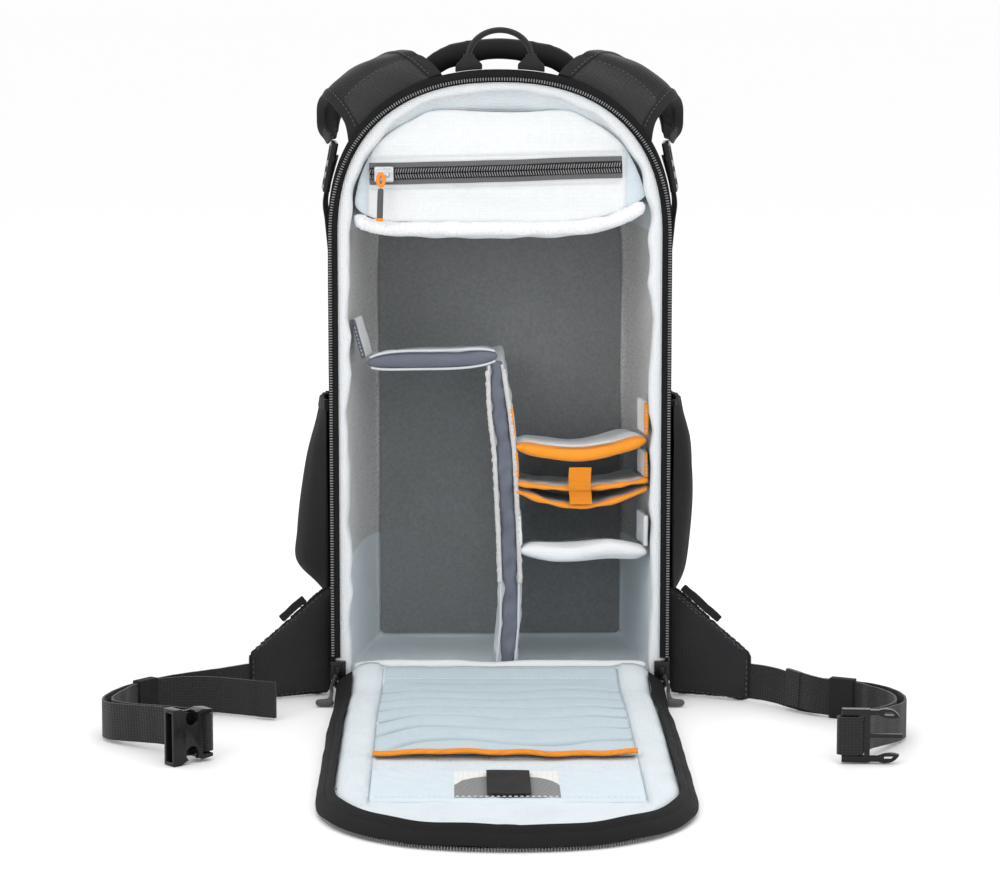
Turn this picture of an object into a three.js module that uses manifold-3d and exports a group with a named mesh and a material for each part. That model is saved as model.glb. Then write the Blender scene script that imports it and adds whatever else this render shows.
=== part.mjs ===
// Camera backpack, standing open: its padded back panel is unzipped and laid forward on the floor.
// Millimetres, +Z up. The origin is the middle of the flat base, and the opening faces -Y.
import * as THREE from "three";
import { mergeVertices } from "three/addons/utils/BufferGeometryUtils.js";
import Module from "manifold-3d";

const wasm = await Module();
wasm.setup();

// Driving dimensions of the body
const bodyHalfWidth = 122;
const bodyHeight = 451.5;
const bodyDepth = 150;
const crownHeight = 120.5;
const crownPower = 2.3;
const baseCornerRadius = 16;
const shellWall = 2;
const liningWall = 13;
const seamGap = 0.3;
const sillHeight = 27;
const sillDepth = 11;
const backBoardWall = 2.5;

// Main zip, on the body and on the flap
const zipTapeWidth = 10.5;
const zipCrownWidth = 5;
const zipCrownInset = 5;
const zipTapeWall = 1.6;
const zipCoilWidth = 3.6;
const zipCoilHeight = 2.8;
const sliderHeight = 14;
const sliderWall = 6;
const pullDiameter = 5.6;
const pullLength = 8;

// Flap, which is the back panel laid on the floor
const flapInset = 11;
const flapPadWall = 12;
const flapHingeLift = 10;
const flapHingeGap = 8;
const flapHingeTuck = 0.045;
const flapTuck = 0.022;
const flapHingeRun = 48;
const flapSkew = 0.0135;
const flapLiningWall = 1.5;
const flapPocketHalfWidth = 88;
const sleeveStart = 8;
const sleeveLength = 234;
const sleevePleats = 9;
const sleeveWall = 1.6;
const trimWidth = 6;
const trimWall = 2.6;
const cardBandStart = 281;
const cardBandEnd = 360;
const cardBandWall = 1;
const cardWindowHalfWidth = 34;
const cardWindowDepth = 75;
const cardTagWidth = 28;
const cardTagWall = 0.9;

// Webbing, belt and buckles
const webbingWidth = 25.4;
const webbingWall = 1.6;
const webbingLift = 1.8;
const keeperLength = 18;
const keeperWall = 1.2;
const keeperSlack = 0.5;
const wingWall = 7;
const wingRootHeight = 82;
const wingTipHeight = 35;
const wingReach = 56;
const wingRootBack = 15;
const wingTipBack = -9.6;
const wingTabRise = 5.5;
const buckleWidth = 38;
const buckleLift = 4.7;
const socketLength = 30;
const socketWall = 11;
const socketBar = 3;
const barWall = 3.6;
const plugLength = 32.5;
const plugBar = 11;
const plugWall = 5;

// Shoulder straps and handles
const strapPadWall = 7;
const ladderWidth = 32;
const ladderHeight = 36;
const ladderWall = 5;
const ladderSlots = [[0.1, 0.4], [0.52, 0.64], [0.76, 0.9]];
const ladderAcross = 0.972;
const ladderTurn = 0.08;
const ladderLean = 0.19;
const ladderBack = 37;
const grabLoopHalfWidth = 22;
const grabLoopHeight = 30;
const grabLoopDiameter = 4.2;
const grabFootWidth = 19;
const grabFootHeight = 11;
const handleHalfWidth = 57;
const handleRise = 465.5;
const handleThickness = 17;
const handleDepth = 13;
const handleBack = 31;

// Side pockets
const pocketWall = 2;
const pocketBottom = 72;
const pocketTop = 214;
const pocketFront = 22;
const pocketBack = 86;
const pocketBulge = 27;

// Interior
const dividerWall = 11.5;
const tallDividerWall = 13;
const dividerFront = 12;
const dividerBack = 114;
const tabDepth = 32;
const shelfHeight = 245;
const shelfTilt = 2;
const shelfSag = 3;
const pouchBottom = 331;
const pouchTop = 426;
const pouchFront = 7;
const pouchDepth = 82;
const pouchClearance = 0.9;
const pouchBelly = 4;
const pouchCurlHeight = 16;
const pouchPanelWall = 4;
const pouchFloorWall = 11;
const pouchZipHeight = 380;
const pouchZipLength = 180;
const pouchZipWidth = 16;
const pouchZipShift = -3;
const pouchZipTilt = 0.028;
const pouchPullLength = 23.4;
const lowShelfHeight = 106;
const organiserHeight = 183;
const organiserRise = 5;
const organiserSag = 12;
const leafHeight = 152;
const leafWall = 3;
const organiserStrapAcross = 0.474;
const organiserStrapHalf = 8;
const tabWall = 2.4;

const frontY = -bodyDepth / 2;
const zipLength = bodyHeight - zipCrownInset - sillHeight;
const skin = shellWall + seamGap + liningWall;

// How the body tapers from the opening to its far wall, as shares of depth, half width and height
const taper = [
  { depth: 0, width: 1, height: 1, foot: 0 },
  { depth: 0.18, width: 1.012, height: 1, foot: 0 },
  { depth: 0.45, width: 0.99, height: 0.992, foot: 0 },
  { depth: 0.7, width: 0.96, height: 0.975, foot: 0 },
  { depth: 0.88, width: 0.92, height: 0.945, foot: 0 },
  { depth: 0.97, width: 0.875, height: 0.915, foot: 0.012 },
  { depth: 1, width: 0.81, height: 0.885, foot: 0.034 },
];

const fabric = (name, color, roughness) =>
  Object.assign(new THREE.MeshStandardMaterial({ color, roughness, metalness: 0 }), { name });
const blackNylon = fabric("black_nylon", 0x1c1c1e, 0.85);
const blackMesh = fabric("black_mesh", 0x151517, 0.95);
const blackWebbing = fabric("black_webbing", 0x1a1a1a, 0.9);
const blackPlastic = fabric("black_plastic", 0x141415, 0.4);
const zipBlack = fabric("zip_black", 0x17181a, 0.6);
const paleLining = fabric("pale_lining", 0xe4e9ec, 0.7);
const blueLining = fabric("blue_lining", 0xc6d2da, 0.7);
const darkBoard = fabric("grey_board", 0x5b6062, 0.9);
const slateFabric = fabric("slate_fabric", 0x70747f, 0.75);
const orangeFabric = fabric("orange_fabric", 0xf79a1e, 0.7);
const zipGrey = fabric("zip_grey", 0x5a5a5f, 0.7);
const paleMetal = fabric("pale_metal", 0xc9ccd0, 0.35);
const greyRubber = fabric("grey_rubber", 0x4a4b4f, 0.6);
const greyMesh = fabric("grey_mesh", 0x8b8f90, 0.9);

const vec = (x, y, z) => new THREE.Vector3(x, y, z);
const lerp = THREE.MathUtils.lerp;
const smooth = (t) => THREE.MathUtils.smoothstep(t, 0, 1);
const root = new THREE.Group();

function add(name, geometry, material) {
  const mesh = new THREE.Mesh(geometry, material);
  mesh.name = name;
  root.add(mesh);
  return mesh;
}

// A closed mesh from points and triangles, turned so that its faces point out.
function closedMesh(points, faces) {
  let volume = 0;
  for (const [a, b, c] of faces) {
    volume += points[a].dot(points[b].clone().cross(points[c]));
  }
  const index = volume < 0 ? faces.map(([a, b, c]) => [a, c, b]) : faces;
  const geometry = new THREE.BufferGeometry().setFromPoints(points);
  geometry.setIndex(index.flat());
  geometry.computeVertexNormals();
  return geometry;
}

// A slab between two grids of points with the same rows and columns.
function slab(upper, lower) {
  const rows = upper.length;
  const columns = upper[0].length;
  const points = [...upper.flat(), ...lower.flat()];
  const at = (side, i, j) => (side * rows + i) * columns + j;
  const faces = [];
  const quad = (a, b, c, d) => faces.push([a, b, c], [a, c, d]);
  for (let i = 0; i < rows - 1; i++) {
    for (let j = 0; j < columns - 1; j++) {
      quad(at(0, i, j), at(0, i + 1, j), at(0, i + 1, j + 1), at(0, i, j + 1));
      quad(at(1, i, j), at(1, i, j + 1), at(1, i + 1, j + 1), at(1, i + 1, j));
    }
    quad(at(0, i, 0), at(1, i, 0), at(1, i + 1, 0), at(0, i + 1, 0));
    quad(at(0, i, columns - 1), at(0, i + 1, columns - 1), at(1, i + 1, columns - 1), at(1, i, columns - 1));
  }
  for (let j = 0; j < columns - 1; j++) {
    quad(at(0, 0, j), at(0, 0, j + 1), at(1, 0, j + 1), at(1, 0, j));
    quad(at(0, rows - 1, j), at(1, rows - 1, j), at(1, rows - 1, j + 1), at(0, rows - 1, j + 1));
  }
  return closedMesh(points, faces);
}

// Cloth of a given thickness about a grid of points. Thickness may vary as a function of row and column share.
function cloth(grid, thickness) {
  const rows = grid.length;
  const columns = grid[0].length;
  const offset = (i, j, side) => {
    const along = grid[Math.min(i + 1, rows - 1)][j].clone().sub(grid[Math.max(i - 1, 0)][j]);
    const across = grid[i][Math.min(j + 1, columns - 1)].clone().sub(grid[i][Math.max(j - 1, 0)]);
    const normal = along.cross(across).normalize();
    const wall = typeof thickness === "function" ? thickness(i / (rows - 1), j / (columns - 1)) : thickness;
    return grid[i][j].clone().addScaledVector(normal, (side * wall) / 2);
  };
  const side = (sign) => grid.map((row, i) => row.map((_, j) => offset(i, j, sign)));
  return slab(side(1), side(-1));
}

// A hollow tub from rings that run outside from the rim to the far wall, and inside back to the rim.
function tub(outer, inner) {
  const rings = [...outer, ...[...inner].reverse()];
  const count = rings[0].length;
  const points = rings.flat();
  const faces = [];
  const at = (ring, k) => ring * count + (k % count);
  const band = (a, b) => {
    for (let k = 0; k < count; k++) {
      faces.push([at(a, k), at(a, k + 1), at(b, k + 1)], [at(a, k), at(b, k + 1), at(b, k)]);
    }
  };
  const cap = (ring, turn) => {
    const middle = rings[ring].reduce((sum, p) => sum.add(p), vec(0, 0, 0)).divideScalar(count);
    points.push(middle);
    for (let k = 0; k < count; k++) {
      const [a, b] = turn ? [at(ring, k + 1), at(ring, k)] : [at(ring, k), at(ring, k + 1)];
      faces.push([points.length - 1, a, b]);
    }
  };
  for (let ring = 0; ring < rings.length - 1; ring++) {
    if (ring !== outer.length - 1) band(ring, ring + 1);
  }
  band(rings.length - 1, 0);
  cap(outer.length - 1, false);
  cap(outer.length, true);
  return closedMesh(points, faces);
}

// A bar whose section, a convex list of [side, up], is carried along stations of { point, side, up }.
function sweep(stations, sectionAt) {
  const sections = stations.map((station, i) =>
    sectionAt(i / (stations.length - 1), station).map(([a, b]) =>
      station.point.clone().addScaledVector(station.side, a).addScaledVector(station.up, b)));
  const count = sections[0].length;
  const points = sections.flat();
  const faces = [];
  for (let i = 0; i < stations.length - 1; i++) {
    for (let k = 0; k < count; k++) {
      const [a, b] = [i * count + k, i * count + ((k + 1) % count)];
      faces.push([a, b, b + count], [a, b + count, a + count]);
    }
  }
  const last = (stations.length - 1) * count;
  for (let k = 1; k < count - 1; k++) {
    faces.push([0, k + 1, k], [last, last + k, last + k + 1]);
  }
  return closedMesh(points, faces);
}

// A round bar of the given diameter along a list of points.
function cordAlong(points, diameter, sides = 8) {
  const curve = new THREE.CatmullRomCurve3(points);
  const circle = new THREE.Shape(
    Array.from({ length: sides }, (_, k) => {
      const angle = (2 * Math.PI * k) / sides;
      return new THREE.Vector2(Math.cos(angle), Math.sin(angle)).multiplyScalar(diameter / 2);
    }));
  const steps = Math.max(4, Math.round(curve.getLength() / (1.5 * diameter)));
  return new THREE.ExtrudeGeometry(circle, { steps, extrudePath: curve, curveSegments: 1 });
}

function solidOf(geometry) {
  const bare = geometry.clone();
  bare.deleteAttribute("normal");
  bare.deleteAttribute("uv");
  const merged = mergeVertices(bare, 1e-4);
  return new wasm.Manifold(new wasm.Mesh({
    numProp: 3,
    vertProperties: merged.attributes.position.array,
    triVerts: new Uint32Array(merged.index.array),
  }));
}

function geometryOf(solid) {
  const mesh = solid.getMesh();
  const geometry = new THREE.BufferGeometry();
  geometry.setAttribute("position", new THREE.BufferAttribute(mesh.vertProperties, 3));
  geometry.setIndex(new THREE.BufferAttribute(mesh.triVerts, 1));
  geometry.computeVertexNormals();
  return geometry;
}

const joined = (...shapes) => geometryOf(shapes.map(solidOf).reduce((a, b) => a.add(b)));
const cutFrom = (shape, ...tools) =>
  geometryOf(tools.map(solidOf).reduce((a, b) => a.subtract(b), solidOf(shape)));

const mirroredX = (grid) => grid.map((row) => row.map((p) => vec(-p.x, p.y, p.z)));

// Body size at a share of its depth
function bodyAt(share) {
  const inside = THREE.MathUtils.clamp(share, 0, 1);
  const next = Math.max(1, taper.findIndex((row) => row.depth >= inside));
  const [a, b] = [taper[next - 1], taper[next]];
  const t = (inside - a.depth) / (b.depth - a.depth);
  const at = (key) => lerp(a[key], b[key], t);
  const top = bodyHeight * at("height");
  const crown = crownHeight * at("width");
  return { half: bodyHalfWidth * at("width"), top, crown, spring: top - crown, foot: bodyHeight * at("foot") };
}

// The inside ends one row of the taper short of the outside
const farRow = taper[taper.length - 2];
const insideDepth = bodyDepth - skin;

// A rounded arch: half width at a rise above its spring, and rise at a distance across
const archHalf = (half, crown, rise) =>
  half * Math.pow(1 - Math.pow(Math.min(1, Math.max(0, rise / crown)), crownPower), 1 / crownPower);
const archRise = (half, crown, across) => archHalf(crown, half, Math.abs(across));

function halfWidthAt(share, z, inset) {
  const { half, crown, spring } = bodyAt(share);
  return archHalf(half - inset, crown - inset, z - spring);
}

const outsideX = (distance, z) => halfWidthAt(distance / bodyDepth, z, 0);
const insideX = (distance, z, clearance = 0.6) =>
  halfWidthAt((farRow.depth * distance) / insideDepth, z, skin + clearance);

// Height of the body's top outside at a distance across, raised by a clearance
function outsideZ(distance, x, clearance) {
  const { half, crown, spring } = bodyAt(distance / bodyDepth);
  return spring + archRise(half + clearance, crown + clearance, x);
}

// One closed ring of the body's outline, starting and ending at the base
function ring(share, inset, y) {
  const { half, crown, spring, foot } = bodyAt(share);
  const low = foot + inset;
  const radius = Math.max(3, baseCornerRadius - inset);
  const [wide, rise] = [half - inset, crown - inset];
  const right = [[0, low], [(wide - radius) / 2, low]];
  for (let k = 0; k <= 3; k++) {
    const angle = (k * Math.PI) / 6;
    right.push([wide - radius * (1 - Math.sin(angle)), low + radius * (1 - Math.cos(angle))]);
  }
  for (const part of [0.3, 0.65]) right.push([wide, lerp(low + radius, spring, part)]);
  for (let k = 0; k < 11; k++) {
    const angle = (k * Math.PI) / 22;
    const [c, s] = [Math.cos(angle), Math.sin(angle)];
    right.push([wide * Math.pow(c, 2 / crownPower), spring + rise * Math.pow(s, 2 / crownPower)]);
  }
  const left = right.slice(1).reverse().map(([x, z]) => [-x, z]);
  return [...right, [0, spring + rise], ...left].map(([x, z]) => vec(x, y, z));
}

// Rings of the outside of a tub that lies at an inset, from the rim to the far wall
const outerRings = (inset) =>
  taper.map(({ depth }) => ring(depth, inset, frontY + depth * (bodyDepth - inset)));
const innerRings = taper.slice(0, -1).map(({ depth }) =>
  ring(depth, skin, frontY + (depth / farRow.depth) * insideDepth));

function buildBody() {
  add("shell", tub(outerRings(0), outerRings(shellWall)), blackNylon);
  add("lining", tub(outerRings(shellWall + seamGap), innerRings), paleLining);
  const outline = ring(farRow.depth, skin + 1.2, 0).map(({ x, z }) => new THREE.Vector2(x, z));
  const board = new THREE.ExtrudeGeometry(new THREE.Shape(outline), { depth: backBoardWall, bevelEnabled: false });
  board.rotateX(Math.PI / 2);
  board.translate(0, frontY + insideDepth - seamGap, 0);
  add("back_board", board, darkBoard);
}

// The line of the main zip: distance across, distance from the hinge, its outward direction and crown share
function zipLine(start) {
  const crown = crownHeight - zipCrownInset;
  const straight = zipLength - crown;
  const half = [];
  for (let k = 0; k <= 6; k++) half.push([bodyHalfWidth, lerp(start, straight, k / 6), 0]);
  for (let k = 1; k <= 13; k++) {
    const angle = (k * Math.PI) / 28;
    const rise = Math.pow(Math.sin(angle), 2 / crownPower);
    half.push([bodyHalfWidth * Math.pow(Math.cos(angle), 2 / crownPower), straight + crown * rise, rise]);
  }
  const mirrored = [...half].reverse().map(([across, along, rise]) => [-across, along, rise]);
  const whole = [...half, [0, zipLength, 1], ...mirrored];
  return whole.map(([across, along, rise], i) => {
    const before = whole[Math.max(i - 1, 0)];
    const after = whole[Math.min(i + 1, whole.length - 1)];
    const direction = new THREE.Vector2(after[0] - before[0], after[1] - before[1]).normalize();
    return { across, along, rise, outAcross: direction.y, outAlong: -direction.x };
  });
}

// How far the flap's underside is off the floor, at a distance in front of the opening
const hingeLift = (ahead) => flapHingeLift * (1 - smooth(ahead / flapHingeRun));

// A point of the flap. It is drawn in, most of all beside the hinge, and lies a little askew.
function onFlap(across, ahead, z) {
  const tuck = lerp(flapHingeTuck, flapTuck, smooth(ahead / (3 * flapHingeRun)));
  return vec(across * (1 - tuck) + flapSkew * ahead, frontY - ahead, z + hingeLift(ahead));
}

function buildMainZip() {
  const bodyStations = zipLine(3).map(({ across, along, rise, outAcross, outAlong }) => ({
    point: vec(across, frontY - seamGap, sillHeight + along),
    side: vec(-outAcross, 0, -outAlong),
    up: vec(0, -1, 0),
    width: lerp(zipTapeWidth, zipCrownWidth, smooth(rise)),
  }));
  const coilTop = zipTapeWall + zipCoilHeight;
  add("body_zip", sweep(bodyStations, (_, { width }) => [
    [0, 0], [width, 0], [width, zipTapeWall], [zipCoilWidth, zipTapeWall + 0.4], [zipCoilWidth, coilTop], [0, coilTop],
  ]), zipBlack);

  const high = flapPadWall + flapLiningWall;
  const reach = flapInset - 2 * seamGap;
  const flapStations = zipLine(4).map(({ across, along, outAcross, outAlong }) => {
    const ahead = flapHingeGap + along;
    const point = onFlap(across, ahead, 0);
    const inner = onFlap(across - outAcross, ahead - outAlong, 0);
    return { point, side: inner.sub(point).setZ(0).normalize(), up: vec(0, 0, 1) };
  });
  add("flap_zip", sweep(flapStations, () => [
    [zipCoilWidth, 0.6], [zipCoilWidth + zipTapeWall, 3.4], [reach, high - 2], [reach, high],
    [zipCoilWidth - 0.6, zipCoilHeight + 3], [0, zipCoilHeight + 2], [0, 0.6],
  ]), zipBlack);
}

// Grid over the flap's outline, less an inset, at a height above its underside
function flapGrid(inset, height) {
  const crown = crownHeight - zipCrownInset - inset;
  const straight = flapHingeGap + zipLength - inset - crown;
  const lines = [];
  for (let k = 0; k <= 6; k++) lines.push(lerp(seamGap, flapHingeRun, k / 6));
  for (let k = 1; k <= 4; k++) lines.push(lerp(flapHingeRun, straight, k / 4));
  for (let k = 1; k <= 9; k++) lines.push(straight + crown * Math.sin((k / 9) * 1.46));
  return lines.map((ahead) => {
    const wide = archHalf(bodyHalfWidth - inset, crown, ahead - straight);
    return [-1, -0.5, 0, 0.5, 1].map((share) => onFlap(share * wide, ahead, height));
  });
}

// A flat plate on the flap between two distances across and two ahead
function flapPlate(across, ahead, low, high) {
  const grid = (z) => ahead.map((a) => across.map((x) => onFlap(x, a, z)));
  return slab(grid(high), grid(low));
}

function buildFlap() {
  add("flap_pad", slab(flapGrid(flapInset, flapPadWall), flapGrid(flapInset, 0)), blackNylon);
  const low = flapPadWall + seamGap;
  const high = low + flapLiningWall;
  add("flap_lining", slab(flapGrid(flapInset, high), flapGrid(flapInset, low)), blueLining);

  const top = high + seamGap;
  const wide = [-flapPocketHalfWidth, 0, flapPocketHalfWidth];
  const sleeveGrid = (wall, crest) =>
    Array.from({ length: 2 * sleevePleats + 1 }, (_, k) => {
      const ahead = sleeveStart + (sleeveLength * k) / (2 * sleevePleats);
      return wide.map((x) => onFlap(x, ahead, top + wall + (k % 2) * crest));
    });
  add("sleeve_pocket", slab(sleeveGrid(sleeveWall, sleeveWall), sleeveGrid(0, 0)), blueLining);
  const trimStart = sleeveStart + sleeveLength + seamGap;
  add("sleeve_trim", flapPlate(wide, [trimStart, trimStart + trimWidth], top, top + trimWall), orangeFabric);

  const window = [-cardWindowHalfWidth, cardWindowHalfWidth];
  const windowRange = [cardBandEnd - cardWindowDepth, cardBandEnd - 4];
  const band = flapPlate(wide, [cardBandStart, cardBandEnd], top, top + cardBandWall);
  add("card_band", cutFrom(band, flapPlate(window, windowRange, top - 1, top + 3)), blueLining);
  const meshTop = top + cardBandWall * 0.8;
  const inWindow = window.map((x) => x - Math.sign(x) * seamGap);
  const inRange = [windowRange[0] + seamGap, windowRange[1] - seamGap];
  add("card_window", flapPlate(inWindow, inRange, top, meshTop), greyMesh);
  const tagAcross = [1 - cardTagWidth / 2, 1 + cardTagWidth / 2];
  const tagRange = [windowRange[0] + 8, windowRange[1] - 2];
  const tagLow = meshTop + seamGap;
  add("card_tag", flapPlate(tagAcross, tagRange, tagLow, tagLow + cardTagWall), blackWebbing);
}

function buildSill() {
  const half = insideX(0, sillHeight);
  const columns = 8;
  const line = (distance, z, endLift) =>
    Array.from({ length: columns + 1 }, (_, k) =>
      vec(half * ((2 * k) / columns - 1), frontY + distance, z + (k % columns ? 0 : endLift)));
  const floor = skin + seamGap;
  const upper = [line(0.6, sillHeight - 2, 0), line(6, sillHeight, 0), line(sillDepth, sillHeight - 2, 0)];
  const lower = [0.6, 6, sillDepth].map((distance) => line(distance, floor, baseCornerRadius / 4));
  add("sill", slab(upper, lower), paleLining);
}

// Slider and pull at each end of the main zip
function buildSliders() {
  const sliderWidth = zipTapeWidth + 1;
  const middle = sillHeight - sliderHeight / 2 + 1;
  for (const [name, sign] of [["left", -1], ["right", 1]]) {
    const x = sign * (bodyHalfWidth - zipTapeWidth / 2);
    const body = new THREE.BoxGeometry(sliderWidth, sliderWall, sliderHeight);
    body.translate(x, frontY - seamGap - sliderWall / 2, middle);
    const bridge = new THREE.BoxGeometry(sliderWidth * 0.34, sliderWall, sliderHeight * 0.6);
    bridge.translate(x, frontY - seamGap - sliderWall * 1.3, middle);
    add(`main_slider_${name}`, joined(body, bridge), blackPlastic);

    const gripEnd = vec(sign * (bodyHalfWidth - 1), frontY - 30, pullDiameter);
    const cord = cordAlong([
      vec(x + sign * 1, frontY - sliderWall * 1.8 - 2.4, middle - 1),
      vec(x + sign * 4, frontY - sliderWall * 1.8 - 6, middle - 9),
      vec(gripEnd.x - sign * 1, gripEnd.y + 5, pullDiameter * 1.9),
      gripEnd,
    ], pullDiameter * 0.55);
    const grip = new THREE.CapsuleGeometry(pullDiameter / 2, pullLength, 3, 10);
    grip.rotateZ(Math.PI / 2);
    grip.translate(gripEnd.x + sign * (pullLength / 2), gripEnd.y, pullDiameter / 2 + 0.4);
    add(`main_pull_${name}`, joined(cord, grip), greyRubber);
  }
}

function buildGrabLoop() {
  const distance = 4;
  const footTop = outsideZ(distance, grabLoopHalfWidth, 0.4) + grabFootHeight;
  const foot = (sign) => {
    const shape = new THREE.Shape();
    const edge = (share, z) => [sign * (grabLoopHalfWidth + share * grabFootWidth), z];
    const ground = (share) => outsideZ(distance, grabLoopHalfWidth + share * grabFootWidth, 0.5);
    shape.moveTo(...edge(-0.5, ground(-0.5)));
    shape.lineTo(...edge(0.5, ground(0.5)));
    shape.quadraticCurveTo(...edge(0.46, footTop - 5), ...edge(0.2, footTop));
    shape.lineTo(...edge(-0.2, footTop));
    shape.quadraticCurveTo(...edge(-0.46, footTop - 5), ...edge(-0.5, ground(-0.5)));
    const plate = new THREE.ExtrudeGeometry(shape, { depth: 2 * webbingWall, bevelEnabled: false, curveSegments: 4 });
    plate.rotateX(Math.PI / 2);
    plate.translate(0, frontY + distance + webbingWall, 0);
    return plate;
  };
  const rise = grabLoopHeight - grabFootHeight;
  const arc = Array.from({ length: 13 }, (_, k) => {
    const angle = (Math.PI * k) / 12;
    return vec(-grabLoopHalfWidth * Math.cos(angle), frontY + distance, footTop - 2 + rise * Math.sin(angle));
  });
  add("grab_loop", joined(foot(-1), foot(1), cordAlong(arc, grabLoopDiameter)), blackWebbing);
}

// Half of the carry handle: share of its half width, drop below its top and turn of its section
const handleRows = [
  { across: 0.886, drop: 1.225, turn: 1.865, size: 1.1 },
  { across: 0.88, drop: 0.76, turn: 1.05, size: 1.14 },
  { across: 0.665, drop: 0.33, turn: 0.43, size: 1.1 },
  { across: 0.32, drop: 0.09, turn: 0.15, size: 1.03 },
  { across: 0, drop: 0, turn: 0, size: 1 },
];

function buildHandle() {
  const far = handleRows.slice(0, -1).reverse();
  const rows = [...handleRows.map((row) => ({ ...row, sign: -1 })), ...far.map((row) => ({ ...row, sign: 1 }))];
  const stations = rows.map(({ across, drop, turn, size, sign }) => ({
    point: vec(sign * across * handleHalfWidth, frontY + handleBack, handleRise - drop * handleThickness),
    side: vec(0, 1, 0),
    up: vec(sign * Math.sin(turn), 0, Math.cos(turn)),
    size,
  }));
  add("carry_handle", sweep(stations, (_, { size }) =>
    Array.from({ length: 12 }, (_unused, k) => {
      const angle = (k * Math.PI) / 6;
      return [(handleDepth / 2) * Math.cos(angle), (handleThickness / 2) * size * Math.sin(angle)];
    })), blackNylon);
}

// Rows of a shoulder strap: its front and rear edge, how far it bows out, and its thickness share.
// Each edge is a share of the half width, of the depth and of the height. The first row lies on the arch.
const strapRows = [
  { front: [0.869, 0.035, 0], rear: [0.33, 0.035, 0], bow: 0, wall: 0.55 },
  { front: [0.889, 0.067, 0.912], rear: [0.381, 0.073, 1.003], bow: 9, wall: 0.95 },
  { front: [0.945, 0.113, 0.934], rear: [0.447, 0.12, 1.0145], bow: 9, wall: 1 },
  { front: [1.012, 0.187, 0.951], rear: [0.52, 0.173, 1.0205], bow: 8, wall: 1 },
  { front: [1.049, 0.267, 0.939], rear: [0.631, 0.4, 1.016], bow: 6.5, wall: 0.95 },
  { front: [1.053, 0.293, 0.919], rear: [0.803, 0.6, 0.985], bow: 5, wall: 0.9 },
  { front: [1.041, 0.267, 0.899], rear: [0.959, 0.6, 0.93], bow: 2.5, wall: 0.85 },
  { front: [0.992, 0.147, 0.886], rear: [0.992, 0.36, 0.886], bow: 0, wall: 0.7 },
];

const strapPoint = ([across, back, up]) =>
  vec(-across * bodyHalfWidth, frontY + back * bodyDepth, up * bodyHeight);

function strapGrid() {
  const outward = vec(-0.68, 0, 0.73);
  return strapRows.map(({ front, rear, bow, wall }, i) => {
    const [a, b] = [strapPoint(front), strapPoint(rear)];
    return Array.from({ length: 7 }, (_, j) => {
      const point = a.clone().lerp(b, j / 6);
      if (i > 0) return point.addScaledVector(outward, (bow * 4 * j * (6 - j)) / 36);
      return point.setZ(outsideZ(front[1] * bodyDepth, point.x, (wall * strapPadWall) / 2 - 0.1));
    });
  });
}

function buildShoulderStraps() {
  const wallAt = (row) => strapPadWall * strapRows[Math.round(row * (strapRows.length - 1))].wall;
  const left = strapGrid();
  add("shoulder_strap_left", cloth(left, wallAt), blackMesh);
  add("shoulder_strap_right", cloth(mirroredX(left), wallAt), blackMesh);

  const end = strapPoint(strapRows[strapRows.length - 1].front);
  const frame = rectangle(-ladderWidth / 2, ladderWidth / 2, -ladderHeight, 0);
  for (const [low, high] of ladderSlots) {
    frame.holes.push(rectangle(3 - ladderWidth / 2, ladderWidth / 2 - 3, -high * ladderHeight, -low * ladderHeight));
  }
  for (const [name, sign] of [["left", -1], ["right", 1]]) {
    const lock = new THREE.ExtrudeGeometry(frame, { depth: ladderWall, bevelEnabled: false });
    lock.rotateX(Math.PI / 2);
    lock.rotateZ(Math.PI / 2);
    lock.translate(-ladderWall / 2, 0, 0);
    lock.rotateZ(-sign * ladderTurn);
    lock.rotateY(-sign * ladderLean);
    lock.translate(sign * ladderAcross * bodyHalfWidth, frontY + ladderBack, end.z - 1);
    add(`ladder_lock_${name}`, lock, blackPlastic);
  }
}

// Webbing from each ladder lock down behind the side pocket to the wing: distance behind the opening,
// height, clearance from the body and how far it is turned onto its edge
const lowerStrapRows = [
  { back: 0.247, up: 0.797, off: 4.6, lean: 0 },
  { back: 0.307, up: 0.757, off: 2.4, lean: 0 },
  { back: 0.387, up: 0.709, off: 1.6, lean: 0 },
  { back: 0.527, up: 0.642, off: 1.6, lean: 0 },
  { back: 0.68, up: 0.554, off: 1.6, lean: 0 },
  { back: 0.735, up: 0.443, off: 1.6, lean: 0 },
  { back: 0.735, up: 0.27, off: 1.6, lean: 0 },
  { back: 0.69, up: 0.19, off: 1.8, lean: 0.35 },
  { back: 0.55, up: 0.128, off: 2.6, lean: 0.85 },
  { back: 0.37, up: 0.119, off: 3, lean: 1 },
  { back: 0.19, up: 0.119, off: 3.4, lean: 1 },
];

function buildLowerStraps() {
  const rows = lowerStrapRows.map(({ back, up, off, lean }) => {
    const angle = (lean * Math.PI) / 2;
    return [-0.5, 0, 0.5].map((share) => {
      const distance = back * bodyDepth + share * webbingWidth * Math.cos(angle);
      const z = up * bodyHeight + share * webbingWidth * Math.sin(angle);
      return vec(-(outsideX(distance, z) + off), frontY + distance, z);
    });
  });
  add("lower_strap_left", cloth(rows, webbingWall), blackWebbing);
  add("lower_strap_right", cloth(mirroredX(rows), webbingWall), blackWebbing);
}

// Side pockets: height share from bottom to mouth and bulge share, on each side
const pocketRows = {
  left: [[0, 0.02], [0.05, 0.45], [0.15, 0.97], [0.3, 0.93], [0.5, 0.79], [0.7, 0.62], [0.87, 0.36], [1, 0.21]],
  right: [[0, 0.02], [0.05, 0.28], [0.15, 0.48], [0.35, 0.61], [0.6, 0.63], [0.8, 0.54], [0.92, 0.32], [1, 0.21]],
};

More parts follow.
